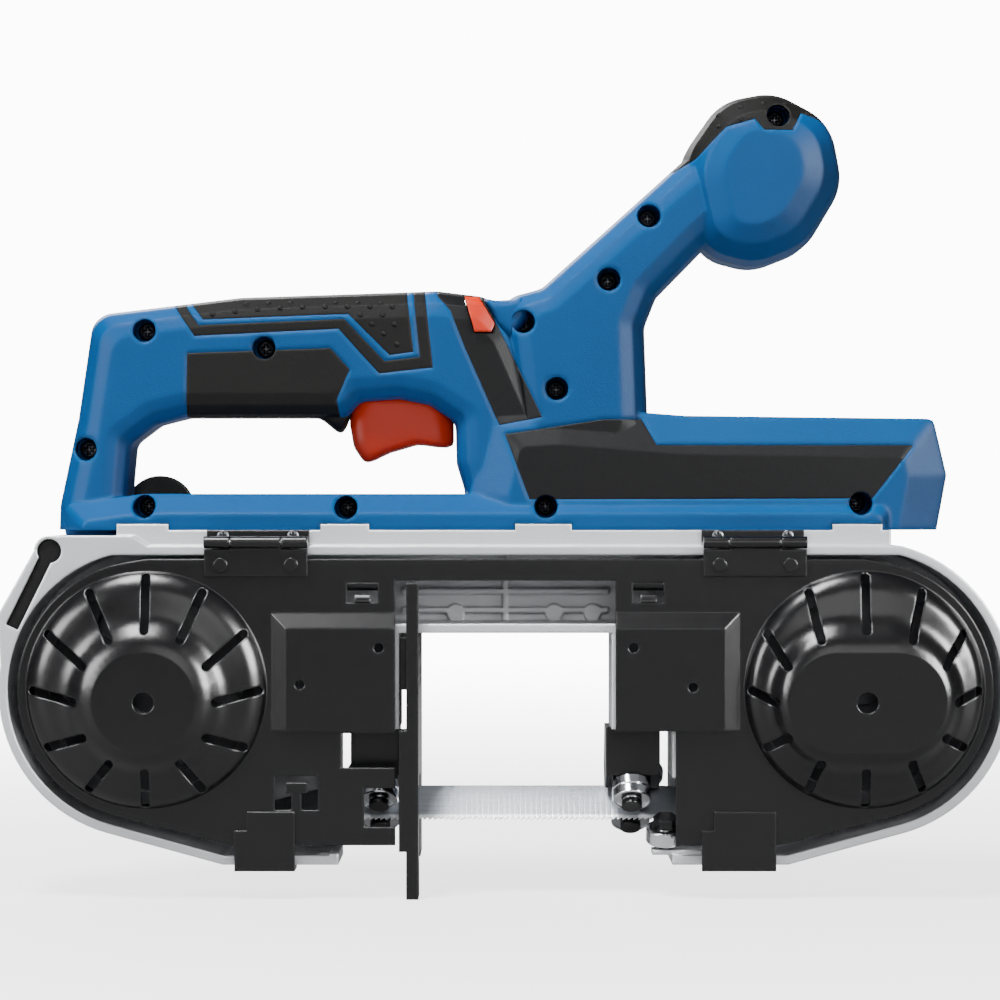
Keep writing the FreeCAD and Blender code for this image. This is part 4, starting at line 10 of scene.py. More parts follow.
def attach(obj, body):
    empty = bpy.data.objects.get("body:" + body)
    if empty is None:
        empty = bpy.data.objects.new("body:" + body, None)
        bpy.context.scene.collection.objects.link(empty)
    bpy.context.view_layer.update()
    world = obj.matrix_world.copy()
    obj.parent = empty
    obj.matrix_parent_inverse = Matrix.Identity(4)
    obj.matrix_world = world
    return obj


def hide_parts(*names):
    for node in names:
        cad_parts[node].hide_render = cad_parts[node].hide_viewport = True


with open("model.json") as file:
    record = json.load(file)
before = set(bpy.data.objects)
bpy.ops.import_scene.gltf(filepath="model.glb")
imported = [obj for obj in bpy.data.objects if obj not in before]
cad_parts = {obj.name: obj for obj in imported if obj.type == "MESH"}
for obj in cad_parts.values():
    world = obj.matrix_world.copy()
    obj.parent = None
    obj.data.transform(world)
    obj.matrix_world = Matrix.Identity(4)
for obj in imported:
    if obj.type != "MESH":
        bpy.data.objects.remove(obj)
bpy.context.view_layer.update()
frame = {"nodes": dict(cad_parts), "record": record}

# Cast frame and gear case cover: die castings of aluminium with a light grey coat. The frame carries
# the wheels, guides and motor, and the moulded body is screwed on its saddle.


def shade(red, green, blue):
    """Linear colour of a tone given in 8-bit screen steps: the screen curve undone."""
    full, toe, slope, offset, power = 255, 0.04045, 12.92, 0.055, 2.4
    share = np.array((red, green, blue)) / full
    tone = np.where(share <= toe, share / slope, ((share + offset) / (1 + offset)) ** power)
    return (*tone.tolist(), 1.0)


def make_soft_edges():
    """Node group: the normal averaged over a radius, and a mask that grows as it turns from the face."""
    group = bpy.data.node_groups.new("soft_edges", "ShaderNodeTree")
    group.interface.new_socket("Radius", in_out="INPUT", socket_type="NodeSocketFloat")
    group.interface.new_socket("Normal", in_out="OUTPUT", socket_type="NodeSocketVector")
    group.interface.new_socket("Edge", in_out="OUTPUT", socket_type="NodeSocketFloat")
    entry = group.nodes.new("NodeGroupInput")
    leave = group.nodes.new("NodeGroupOutput")
    rounded = group.nodes.new("ShaderNodeBevel")
    rounded.samples = 6
    face = group.nodes.new("ShaderNodeNewGeometry")
    turn = group.nodes.new("ShaderNodeVectorMath")
    turn.operation = "DOT_PRODUCT"
    mask = group.nodes.new("ShaderNodeMapRange")
    mask.inputs["From Min"].default_value = 0.985
    mask.inputs["From Max"].default_value = 0.82
    group.links.new(entry.outputs["Radius"], rounded.inputs["Radius"])
    group.links.new(rounded.outputs["Normal"], turn.inputs[0])
    group.links.new(face.outputs["Normal"], turn.inputs[1])
    group.links.new(turn.outputs["Value"], mask.inputs["Value"])
    group.links.new(rounded.outputs["Normal"], leave.inputs["Normal"])
    group.links.new(mask.outputs["Result"], leave.inputs["Edge"])
    return group


def make_skin_grain():
    """Node group: noise of a fine scale as the height of a grained skin, slow noise as tone patches."""
    group = bpy.data.node_groups.new("skin_grain", "ShaderNodeTree")
    group.interface.new_socket("Grain Scale", in_out="INPUT", socket_type="NodeSocketFloat")
    group.interface.new_socket("Patch Scale", in_out="INPUT", socket_type="NodeSocketFloat")
    group.interface.new_socket("Height", in_out="OUTPUT", socket_type="NodeSocketFloat")
    group.interface.new_socket("Patch", in_out="OUTPUT", socket_type="NodeSocketFloat")
    entry = group.nodes.new("NodeGroupInput")
    leave = group.nodes.new("NodeGroupOutput")
    place = group.nodes.new("ShaderNodeTexCoord")
    for size, result, detail in (("Grain Scale", "Height", 3), ("Patch Scale", "Patch", 4)):
        noise = group.nodes.new("ShaderNodeTexNoise")
        noise.inputs["Detail"].default_value = detail
        group.links.new(place.outputs["Object"], noise.inputs["Vector"])
        group.links.new(entry.outputs[size], noise.inputs["Scale"])
        group.links.new(noise.outputs["Fac"], leave.inputs[result])
    return group


soft_edges = make_soft_edges()
skin_grain = make_skin_grain()


def skin(name, dark, light, edge_tone_worn_and_lit, roughness, metallic=0.0, grain=1600, patch=30, bump=0.15,
         radius=0.0006, spread=0.08, edge_wear_and_sheen=0.5, shine=0.5):
    """Material of a grained skin: two tones by patches, a lighter tone on edges that is wear on most
    finishes and a painted highlight on the rounded edges of the blue and orange mouldings, and roughness
    and bump by the grain."""
    material = bpy.data.materials.new(name)
    material.use_nodes = True
    nodes = material.node_tree.nodes
    link = material.node_tree.links.new
    shader = nodes["Principled BSDF"]
    shader.inputs["Metallic"].default_value = metallic
    shader.inputs["Specular IOR Level"].default_value = shine
    edges = nodes.new("ShaderNodeGroup")
    edges.node_tree = soft_edges
    edges.inputs["Radius"].default_value = radius
    grains = nodes.new("ShaderNodeGroup")
    grains.node_tree = skin_grain
    grains.inputs["Grain Scale"].default_value = grain
    grains.inputs["Patch Scale"].default_value = patch
    tones = nodes.new("ShaderNodeMix")
    tones.data_type = "RGBA"
    tones.inputs["A"].default_value = dark
    tones.inputs["B"].default_value = light
    link(grains.outputs["Patch"], tones.inputs["Factor"])
    # Edge share: wear on most finishes, a painted highlight on the rounded edges of the blue and orange
    # mouldings.
    edge_wear_and_sheen_mask = nodes.new("ShaderNodeMath")
    edge_wear_and_sheen_mask.operation = "MULTIPLY"
    edge_wear_and_sheen_mask.inputs[1].default_value = edge_wear_and_sheen
    link(edges.outputs["Edge"], edge_wear_and_sheen_mask.inputs[0])
    worn_and_lit_tone = nodes.new("ShaderNodeMix")
    worn_and_lit_tone.data_type = "RGBA"
    worn_and_lit_tone.inputs["B"].default_value = edge_tone_worn_and_lit
    link(edge_wear_and_sheen_mask.outputs["Value"], worn_and_lit_tone.inputs["Factor"])
    link(tones.outputs["Result"], worn_and_lit_tone.inputs["A"])
    link(worn_and_lit_tone.outputs["Result"], shader.inputs["Base Color"])
    gloss = nodes.new("ShaderNodeMapRange")
    gloss.inputs["To Min"].default_value = roughness - spread
    gloss.inputs["To Max"].default_value = roughness + spread
    link(grains.outputs["Height"], gloss.inputs["Value"])
    link(gloss.outputs["Result"], shader.inputs["Roughness"])
    relief = nodes.new("ShaderNodeBump")
    relief.inputs["Strength"].default_value = bump
    relief.inputs["Distance"].default_value = 0.0003
    link(grains.outputs["Height"], relief.inputs["Height"])
    link(edges.outputs["Normal"], relief.inputs["Normal"])
    link(relief.outputs["Normal"], shader.inputs["Normal"])
    return material


def dress(material, *names):
    """Give CAD pieces a finish."""
    for name in names:
        slots = frame["nodes"][name].data.materials
        slots.clear()
        slots.append(material)


cast_coat = skin(
    "cast_grey_coat", shade(178, 180, 183), shade(198, 200, 203), shade(234, 235, 237),
    roughness=0.42, metallic=0.35, grain=900, patch=18, bump=0.2, radius=0.0012,
)
dress(cast_coat, "frame", "gear_case_cover")

# Corner bumper: a strip of moulded rubber that is pressed into the groove of the frame's corner lug.
# The same dull rubber skin is used again on the grips.
black_rubber = skin(
    "black_rubber_skin", shade(12, 12, 12), shade(19, 19, 18), shade(52, 51, 50),
    roughness=0.55, grain=1500, patch=40, bump=0.35, radius=0.0012, edge_wear_and_sheen=0.35, shine=0.1,
)
dress(black_rubber, "corner_bumper")

# Motor and gears: steel shafts and cut gears in ball bearings, a laminated rotor in a pressed can with
# a moulded fan, under a moulded shell that is screwed to the gear case cover.
machined_steel = skin(
    "machined_steel", shade(150, 152, 156), shade(190, 192, 196), shade(222, 223, 226),
    roughness=0.3, metallic=1.0, grain=700, patch=60, bump=0.05, radius=0.0003,
)
zinc_plate = skin(
    "zinc_plate", shade(150, 152, 155), shade(188, 190, 192), shade(220, 221, 222),
    roughness=0.36, metallic=1.0, grain=900, patch=120, bump=0.06, radius=0.0003,
)
grey_plastic = skin(
    "grey_moulding", shade(96, 97, 100), shade(118, 119, 122), shade(140, 141, 144),
    roughness=0.55,
)
dress(machined_steel, "drive_shaft", "drive_bearings", "output_gear")
dress(machined_steel, "lay_shaft", "small_bearings", "motor_rotor")
dress(zinc_plate, "motor_can")
dress(grey_plastic, "motor_fan")

# Wheels and tyres: cast alloy wheels turned on their rims, each with a rubber tyre that is stretched on
# and lifts the blade. The drive wheel is bolted to its shaft, the idler runs on two bearings.
# The wheels' tone is kept dark as painted shade, so that the insides of the cover's slots look dark.
turned_alloy = skin(
    "turned_alloy", shade(66, 67, 70), shade(84, 85, 88), shade(150, 151, 153),
    roughness=0.46, metallic=0.5, grain=600, patch=40, bump=0.08, radius=0.0005,
)
# This darker zinc is the hinge screws' own dull plating and also painted shade: it darkens the screw heads
# deep in the body's wells and the bolt and axle sunk in the hubs.
dull_zinc_and_shade = skin(
    "dark_zinc_plate", shade(70, 71, 74), shade(92, 93, 96), shade(150, 151, 154),
    roughness=0.34, metallic=1.0, grain=900, patch=120, bump=0.06, radius=0.0003,
)
dress(turned_alloy, "drive_wheel", "idler_wheel")
dress(black_rubber, "drive_tyre", "idler_tyre")
dress(machined_steel, "idler_bearings")
# The bolt and axle are darkened as painted shade in the hub holes.
dress(dull_zinc_and_shade, "idler_axle", "drive_bolt")

# Tension slide and lever: a steel slide in rails behind the frame, held by a plate, that an eccentric
# on the lever pushes outwards to tighten the blade.
black_steel = skin(
    "satin_black_steel", shade(9, 9, 11), shade(12, 12, 14), shade(36, 37, 40),
    roughness=0.25, grain=300, patch=22, bump=0.004, radius=0.0009, spread=0.03, edge_wear_and_sheen=0.3, shine=0.35,
)
dress(machined_steel, "tension_slide")
dress(zinc_plate, "slide_plate", "lever_clip", "frame_screws")
dress(black_steel, "tension_lever")

# Blade: a welded band of spring steel with ground teeth on its front edge, which the guides twist on the
# lower run. The loop is a flat section with a toothed edge carried round both wheels.
MM = 0.001
places = {joint["name"]: joint for joint in frame["record"]["behaviour"]["joints"]}
drive_middle = np.array(places["drive_spin"]["pos_m"])
wheel_gap = 2 * drive_middle[0]
blade_y = drive_middle[1] - 18.5 * MM
loop_radius = 41.6 * MM
blade_half = 6.5 * MM
blade_thick = 0.6 * MM
tooth_pitch = 1.8 * MM
tooth_depth = 0.9 * MM
tooth_tip = 0.7
ground_low = blade_half - 2.4 * tooth_depth
ground_high = blade_half - 1.4 * tooth_depth
twist_outer = 94 * MM
twist_inner = 50 * MM
twist_lift = 2.8 * MM
twist_turn = math.radians(55)
crease = math.radians(38)


def surface(name, points, capped, material, body):
    """Mesh of one or more grids: quads join neighbours, columns close on themselves, and the rows close
    too or, when capped, end in fans. The sign of the enclosed volume turns the faces outwards."""
    points = np.asarray(points, float)
    if points.ndim == 3:
        points = points[None]
    count, rows, columns = points.shape[:3]
    index = np.arange(count * rows * columns).reshape(count, rows, columns)
    lower = index[:, :-1] if capped else index
    upper = index[:, 1:] if capped else np.roll(index, -1, axis=1)
    beside = (lower, np.roll(lower, -1, axis=2), np.roll(upper, -1, axis=2), upper)
    quads = np.stack(beside, axis=-1).reshape(-1, 4)
    vertices = points.reshape(-1, 3)
    fans = np.zeros((0, 3), int)
    if capped:
        ends = []
        for row, first in ((0, len(vertices)), (-1, len(vertices) + count)):
            rim = index[:, row]
            middle = np.broadcast_to(np.arange(first, first + count)[:, None], rim.shape)
            pair = (np.roll(rim, -1, axis=1), rim) if row == 0 else (rim, np.roll(rim, -1, axis=1))
            ends.append(np.stack((middle, *pair), axis=-1).reshape(-1, 3))
        vertices = np.concatenate((vertices, points[:, 0].mean(axis=1), points[:, -1].mean(axis=1)))
        fans = np.concatenate(ends)
    halves = np.concatenate((quads[:, :3], quads[:, (0, 2, 3)], fans))
    a, b, c = vertices[halves[:, 0]], vertices[halves[:, 1]], vertices[halves[:, 2]]
    if np.einsum("ij,ij->", a, np.cross(b, c)) < 0:
        quads = quads[:, ::-1]
        fans = fans[:, ::-1]
    mesh = bpy.data.meshes.new(name)
    mesh.from_pydata(vertices.tolist(), [], quads.tolist() + fans.tolist())
    mesh.shade_smooth()
    mesh.set_sharp_from_angle(angle=crease)
    mesh.materials.append(material)
    piece = bpy.data.objects.new(name, mesh)
    bpy.context.scene.collection.objects.link(piece)
    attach(piece, body)
    return piece


def blade_loop():
    """Points of the band: path of two runs and two half circles, sampled four times a tooth; the lower run
    turns about its length by a smooth step; the section's front corners follow a saw-tooth wave."""
    length = 2 * wheel_gap + math.tau * loop_radius
    teeth = 2 * round(length / tooth_pitch / 2)
    phase = np.array((0.0, 0.78, 0.86, 0.94))
    wave = np.tile((0.0, 1.0, 1.0, 0.0), teeth)
    along = ((np.arange(teeth)[:, None] + phase) * (length / teeth)).ravel()
    half_turn = math.pi * loop_radius
    right = np.clip((along - wheel_gap) / loop_radius, 0, math.pi)
    left = np.clip((along - 2 * wheel_gap - half_turn) / loop_radius, 0, math.pi)
    top = np.clip(along, 0, wheel_gap) - wheel_gap / 2
    bottom = wheel_gap / 2 - np.clip(along - wheel_gap - half_turn, 0, wheel_gap)
    low = along > wheel_gap + half_turn
    angle = math.pi / 2 - right - left
    x = np.where(low, bottom, top) + loop_radius * np.cos(angle)
    z = loop_radius * np.sin(angle)
    level = low & (left == 0)
    ease = np.clip((twist_outer - np.abs(x)) / (twist_outer - twist_inner), 0, 1)
    ease = np.where(level, ease * ease * (3 - 2 * ease), 0)
    turn = twist_turn * ease
    zero = np.zeros_like(x)
    middle = np.stack((x, zero + blade_y, z + drive_middle[2] + twist_lift * ease), axis=-1)
    out = np.stack((np.cos(angle), np.sin(turn), np.sin(angle) * np.cos(turn)), axis=-1)
    front = np.stack((zero, -np.cos(turn), -np.sin(turn)), axis=-1)
    root = blade_half - tooth_depth
    tip = root + tooth_depth * wave
    thick = blade_thick / 2
    back = zero - blade_half
    gullet = zero + root - thick
    across = np.stack((back, gullet, tip, tip, gullet, back))
    above = np.array((1, 1, tooth_tip, -tooth_tip, -1, -1)) * thick
    return middle + across[..., None] * front + above[:, None, None] * out, along, across


band, band_along, band_across = blade_loop()


def brushed_band():
    """Rolled steel: a noise stretched along the band gives streaks of tone, roughness and relief, and the
    tone turns bright over the ground edge at the teeth."""
    material = bpy.data.materials.new("rolled_band_steel")
    material.use_nodes = True
    nodes = material.node_tree.nodes
    link = material.node_tree.links.new
    shader = nodes["Principled BSDF"]
    shader.inputs["Metallic"].default_value = 1.0
    place = nodes.new("ShaderNodeUVMap")
    place.uv_map = "band"
    stretch = nodes.new("ShaderNodeMapping")
    stretch.inputs["Scale"].default_value = (60, 4000, 1)
    streaks = nodes.new("ShaderNodeTexNoise")
    streaks.inputs["Scale"].default_value = 1.0
    streaks.inputs["Detail"].default_value = 4
    link(place.outputs["UV"], stretch.inputs["Vector"])
    link(stretch.outputs["Vector"], streaks.inputs["Vector"])
    split = nodes.new("ShaderNodeSeparateXYZ")
    link(place.outputs["UV"], split.inputs["Vector"])
    ground = nodes.new("ShaderNodeMapRange")
    ground.inputs["From Min"].default_value = ground_low
    ground.inputs["From Max"].default_value = ground_high
    link(split.outputs["Y"], ground.inputs["Value"])
    tones = nodes.new("ShaderNodeMix")
    tones.data_type = "RGBA"
    tones.inputs["A"].default_value = shade(120, 124, 130)
    tones.inputs["B"].default_value = shade(168, 172, 178)
    link(streaks.outputs["Fac"], tones.inputs["Factor"])
    edge = nodes.new("ShaderNodeMix")
    edge.data_type = "RGBA"
    edge.inputs["B"].default_value = shade(222, 224, 227)
    link(ground.outputs["Result"], edge.inputs["Factor"])
    link(tones.outputs["Result"], edge.inputs["A"])
    link(edge.outputs["Result"], shader.inputs["Base Color"])
    gloss = nodes.new("ShaderNodeMapRange")
    gloss.inputs["To Min"].default_value = 0.28
    gloss.inputs["To Max"].default_value = 0.5
    link(streaks.outputs["Fac"], gloss.inputs["Value"])
    link(gloss.outputs["Result"], shader.inputs["Roughness"])
    relief = nodes.new("ShaderNodeBump")
    relief.inputs["Strength"].default_value = 0.12
    relief.inputs["Distance"].default_value = 0.0001
    link(streaks.outputs["Fac"], relief.inputs["Height"])
    link(relief.outputs["Normal"], shader.inputs["Normal"])
    return material


blade = surface("toothed_blade", band, False, brushed_band(), "body")
flat = np.stack((np.broadcast_to(band_along, band_across.shape), band_across), axis=-1).reshape(-1, 2)
corners = np.empty(len(blade.data.loops), int)
blade.data.loops.foreach_get("vertex_index", corners)
blade.data.uv_layers.new(name="band").data.foreach_set("uv", flat[corners].ravel())
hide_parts("blade")

# Guide holders and rollers: black steel forks screwed under the frame. Each holds two stacked ball
# bearings beside the blade and one behind its back, pressed on blackened pins.
dress(black_steel, "guide_holder_left", "guide_holder_right", "roller_pins")
race = dict(radius=6.5, width=7.0, bore=2.05, groove=True)
thrust_race = dict(radius=4.5, width=4.0, bore=1.25, groove=False)
stop_race = dict(radius=6.5, width=5.0, bore=2.05, groove=False)


def race_profile(radius, width, bore, groove):
    """Section of a shielded ball bearing in millimetres: bevelled rings, sunk shields, and a dividing
    groove round the middle where two bearings are stacked."""
    half = width / 2
    bevel = 0.35
    land_share = 0.22
    land = land_share * (radius - bore)
    sunk = 0.3
    groove_half = 0.3
    groove_depth = 0.4
    side = [(bore, half - bevel), (bore + bevel, half), (bore + land, half), (bore + land, half - sunk)]
    side += [(radius - land, half - sunk), (radius - land, half)]
    side += [(radius - bevel, half), (radius, half - bevel)]
    parting = [(radius, groove_half), (radius - groove_depth, 0.0), (radius, -groove_half)]
    middle = parting if groove else []
    return np.array(side + middle + [(r, -h) for r, h in reversed(side)]) * MM


def turned(profile, middle, axis, steps=56):
    """Points of a section carried once round an axis: height along it, radius round it."""
    axis = np.array(axis, float)
    axis = axis / np.linalg.norm(axis)
    level = np.cross(axis, (1.0, 0.0, 0.0))
    level = level / np.linalg.norm(level)
    other = np.cross(axis, level)
    angle = np.linspace(0, math.tau, steps, endpoint=False)
    ring = np.cos(angle)[:, None] * level + np.sin(angle)[:, None] * other
    return np.array(middle) + profile[:, 0, None, None] * ring + profile[:, 1, None, None] * axis


bearing_steel = skin(
    "ground_bearing_steel", shade(186, 188, 192), shade(212, 214, 217), shade(236, 237, 239),
    roughness=0.2, metallic=1.0, grain=500, patch=90, bump=0.03, radius=0.0002,
)
rollers = [("front_roller", race), ("rear_roller", race), ("thrust_roller", thrust_race)]
rollers = [(f"{kind}_{side}", section) for side in ("left", "right") for kind, section in rollers]
for node, section in rollers + [("stop_roller", stop_race)]:
    joint = places[node + "_spin"]
    loop = turned(race_profile(**section), joint["pos_m"], joint["axis"])
    bearing = surface(node + "_bearing", loop, False, bearing_steel, node)
    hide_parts(node)

# Work stop: a flat bar of black steel screwed to the throat's left wall, slotted for the blade, against
# which the blade pulls the work.
dress(black_steel, "work_stop")

# Wheel cover with hinges and clips: deep drawn steel sheet with a satin black coat, pressed into domes
# over both wheels, with flaps and tongues bent in at its windows. It hangs on two riveted hinges, which
# are screwed to the frame, and snaps under the frame with spring clips.
dress(black_steel, "wheel_cover", "cover_clips")
dress(black_steel, "hinge_moving_leaves", "hinge_fixed_leaves", "hinge_rivets")
dress(zinc_plate, "hinge_pins")
screw_steps = 28
screw_point = 0.6
screw_point_length = 0.3
head_flank = 0.5
head_rim = 0.55
head_rings = np.array((0.94, 0.82, 0.66, 0.52, 0.4, 0.28, 0.16, 0.06))
cross_half = 0.2
cross_slope = 0.1
cross_reach = 0.62
cross_end = 0.12
cross_depth = 0.8


def cross_screws(name, seats, axis, head, shank, rise, length, body, replaced, material):
    """Screws with a cross recess: rows run from the shank's end over the head to its middle, the head's
    top is a shallow dome, and two crossed troughs are sunk into it by smooth steps."""
    axis = np.array(axis, float)
    level = np.array((1.0, 0.0, 0.0))
    other = np.cross(axis, level)
    angle = np.linspace(0, math.tau, screw_steps, endpoint=False)
    radius = np.concatenate(((screw_point * shank, shank, shank, head, head), head * head_rings))[:, None]
    flank = head_flank * rise
    dome = rise * (head_rim + (1 - head_rim) * np.sqrt(1 - head_rings ** 2))
    shoulder = screw_point_length * shank - length
    height = np.concatenate(((-length, shoulder, 0.0, 0.0, flank), dome))[:, None]
    ring = np.cos(angle)[:, None] * level + np.sin(angle)[:, None] * other
    across = np.minimum(np.abs(radius * np.sin(angle)), np.abs(radius * np.cos(angle)))
    trough = np.clip((cross_half * head - across) / (cross_slope * head), 0, 1)
    trough = trough * np.clip((cross_reach * head - radius) / (cross_end * head), 0, 1)
    sunk = cross_depth * rise * trough * (height > flank)
    shape = radius[..., None] * ring + (height - sunk)[..., None] * axis
    piece = surface(name, np.array(seats)[:, None, None] + shape, True, material, body)
    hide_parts(replaced)


cover_face = drive_middle[1] - 40.2 * MM
strip_thick = 0.84 * MM
window_x = 47.0 * MM
window_half = 5.1 * MM
window_top = drive_middle[2] + 35.4 * MM
window_low = drive_middle[2] + 28.8 * MM
flap_bend = 2.6 * MM
flap_turn = 0.62 * math.pi
flap_steps = 9
flap_play = 0.1 * MM
tongue_half = 2.7 * MM
tongue_height = 2.2 * MM
tongue_sink = 0.2 * MM
tongue_bow = 1.1 * MM
tongue_steps = 7


def bent_strip(line, half):
    """Strips of sheet across both windows: a bent line of points, given a thickness along its normals, is
    carried straight across the width; y runs inwards and z up."""
    along = np.gradient(line, axis=0)
    along = along / np.linalg.norm(along, axis=1, keepdims=True)
    normal = np.stack((-along[:, 1], along[:, 0]), axis=-1)
    section = np.concatenate((line, (line + strip_thick * normal)[::-1]))
    width = np.array((-half, half))[:, None]
    one = np.stack(np.broadcast_arrays(width, section[:, 0], section[:, 1]), axis=-1)
    return np.stack((one - (window_x, 0, 0), one + (window_x, 0, 0)))


bend = np.linspace(0, flap_turn, flap_steps)
flap_y = cover_face + flap_bend * (1 - np.cos(bend))
flap_z = window_top - flap_play - flap_bend * np.sin(bend)
flaps = bent_strip(np.stack((flap_y, flap_z), axis=-1), window_half - flap_play)
surface("window_flaps", flaps, True, black_steel, "cover")
lift = np.linspace(0, 1, tongue_steps)
tongue_y = cover_face + tongue_sink + tongue_bow * lift ** 2
tongue_z = window_low + tongue_height * lift
tongues = bent_strip(np.stack((tongue_y, tongue_z), axis=-1), tongue_half)
surface("window_tongues", tongues, True, black_steel, "cover")

saddle_height = drive_middle[2] + 50.6 * MM
hinge_face = drive_middle[1] - 30.2 * MM
hinge_screw_x = np.array((-93.6, -70.4, 70.4, 93.6)) * MM
hinge_seats = [(x, hinge_face, saddle_height) for x in hinge_screw_x]
cross_screws("hinge_cross_screws", hinge_seats, (0, -1, 0), head=2.0 * MM, shank=1.5 * MM, rise=1.0 * MM,
             length=12 * MM, body="body", replaced="hinge_screws", material=dull_zinc_and_shade)

# Moulded body: two halves of glass filled nylon in blue with a fine grain, and the shell over the motor.
# Cross head screws in deep wells hold the halves together on the frame's saddle; a rounded saddle joins
# handle and neck, and a heel reaches down to the frame's corner.
# The lighter edge tone of the blue is a painted highlight along its rounded edges.
blue_nylon = skin(
    "blue_nylon", shade(0, 66, 120), shade(0, 75, 132), shade(16, 108, 170),
    roughness=0.46, grain=2400, patch=26, bump=0.25, radius=0.0025, edge_wear_and_sheen=0.25, shine=0.1,
)
dress(blue_nylon, "housing_front", "housing_back", "motor_shell")
body_pixel = 0.34 * MM
body_middle_px = 505.3
body_floor_px = 530
body_floor = drive_middle[2] + 52.5 * MM
well_floor = drive_middle[1] - 6 * MM
outline_steps = 480
cushion_steps = 96


def body_place(px, py):
    """Place in the body's split plane of a point of the picture: x to the right, z up, one scale."""
    return (px - body_middle_px) * body_pixel, body_floor + (body_floor_px - py) * body_pixel


def outline_reach(picture, heart, steps):
    """Distance of an outline from its heart at even angles, softened at the corners."""
    points = np.array(picture, float)
    walk = np.linspace(0, len(points), outline_steps, endpoint=False)
    start = walk.astype(int)
    share = (walk - start)[:, None]
    line = points[start] * (1 - share) + points[(start + 1) % len(points)] * share
    arm = line - heart
    angle = np.arctan2(-arm[:, 1], arm[:, 0])
    order = np.argsort(angle)
    even = np.linspace(-math.pi, math.pi, steps, endpoint=False)
    reach = np.interp(even, angle[order], np.linalg.norm(arm, axis=1)[order], period=math.tau)
    return (np.roll(reach, 1) + 2 * reach + np.roll(reach, -1)) / 4, even


def cushion(picture, heart, half, fall, across):
    """Closed form about the split plane: an outline by its distance from a heart, which falls towards both
    ends of the width."""
    reach, even = outline_reach(picture, heart, cushion_steps)
    px = heart[0] + reach * np.cos(even) * fall[:, None]
    py = heart[1] - reach * np.sin(even) * fall[:, None]
    x, z = body_place(px, py)
    wide = np.broadcast_to(across[:, None] * half + drive_middle[1], x.shape)
    return np.stack((x, wide, z), axis=-1)


wells = np.array((
    (149.5, 333.5), (267.5, 350.5), (91.5, 450.5), (151, 507), (349, 508), (545, 507),
    (555.8, 391), (523, 325), (607, 283.5), (646.5, 221), (773, 123), (853.8, 504),
))
well_x, well_z = body_place(*wells.T)
well_seats = np.stack(np.broadcast_arrays(well_x, well_floor, well_z), axis=-1)
# Their heads take the darker zinc as painted shade in the deep wells.
cross_screws("body_cross_screws", well_seats, (0, -1, 0), head=3.0 * MM, shank=1.6 * MM, rise=2.0 * MM,
             length=18 * MM, body="body", replaced="housing_screws", material=dull_zinc_and_shade)

soft_steps = 33
soft_turn = 0.99 * math.pi
soft_end = 0.5
soft_side_power = 4
soft_end_power = 1 / 2.4
soft_across = np.sin(np.linspace(-0.5, 0.5, soft_steps) * soft_turn)
soft_fall = soft_end + (1 - soft_end) * (1 - soft_across ** soft_side_power) ** soft_end_power
saddle_picture = ((482, 300), (496, 302.5), (512, 301.5), (526, 297), (530, 318), (512, 345), (496, 330))
saddle_heart = (507, 318)
saddle_half = 17.5 * MM
saddle_points = cushion(saddle_picture, saddle_heart, saddle_half, soft_fall, soft_across)
surface("neck_saddle", saddle_points, True, blue_nylon, "body")
heel_picture = ((66, 520), (124, 520), (124, 544), (84, 548), (70, 540))
heel_heart = (96, 533)
heel_half = 18 * MM
heel_points = cushion(heel_picture, heel_heart, heel_half, soft_fall, soft_across)
surface("body_heel", heel_points, True, blue_nylon, "body")

# Grips: soft rubber moulded over the handle and over the front knob, with rows of small raised dots
# against slipping. The lower pad faces the fingers and ends in a lip ahead of them.
dress(black_rubber, "grip_top", "grip_lower", "front_grip")
dot_radius = 0.95 * MM
dot_rise = 0.45 * MM
dot_steps = 12
dot_heights = np.array((-0.6, 0.0, 0.55, 0.9)) * dot_rise
dot_radii = np.array((1.0, 1.0, 0.78, 0.4)) * dot_radius
row_start = (212.8, 314.3)
row_step = 22.45
row_lift = 7.6
row_bend = 4.5
row_count = 9
row_number = np.arange(row_count)
row_rise = row_lift * np.sin(np.minimum(row_number / row_bend, 1) * math.pi / 2)
grip_row = np.stack((row_start[0] + row_step * row_number, row_start[1] - row_rise), axis=-1)
grip_rest = np.array((
    (245.9, 304.4), (268.3, 303.4), (290.6, 302.9), (335.4, 302.9), (357.8, 302.9), (380.2, 303.4),
    (360.3, 314.8), (382.7, 314.8), (372, 323.8), (394.4, 324.3), (383.9, 333.5), (396.9, 344.2),
))
grip_dots = np.concatenate((grip_row, grip_rest))
knob_dots = np.array((
    (718, 115.2), (741.2, 107), (741.2, 119.8), (719.1, 126.2),
    (763.6, 103.5), (785.4, 104), (807.6, 114),
))
camera_place = np.array((-1.8, -1209.2, 131.2)) * MM
camera_range = 1200 * MM
camera_pixel = body_pixel / camera_range
picture_width = 1000


def sight(px, py):
    """Direction from the camera through a point of the picture: steps from its middle over the range."""
    right = (px - picture_width / 2) * camera_pixel
    up = (picture_width / 2 - py) * camera_pixel
    return Vector((right, 1.0, up)).normalized()


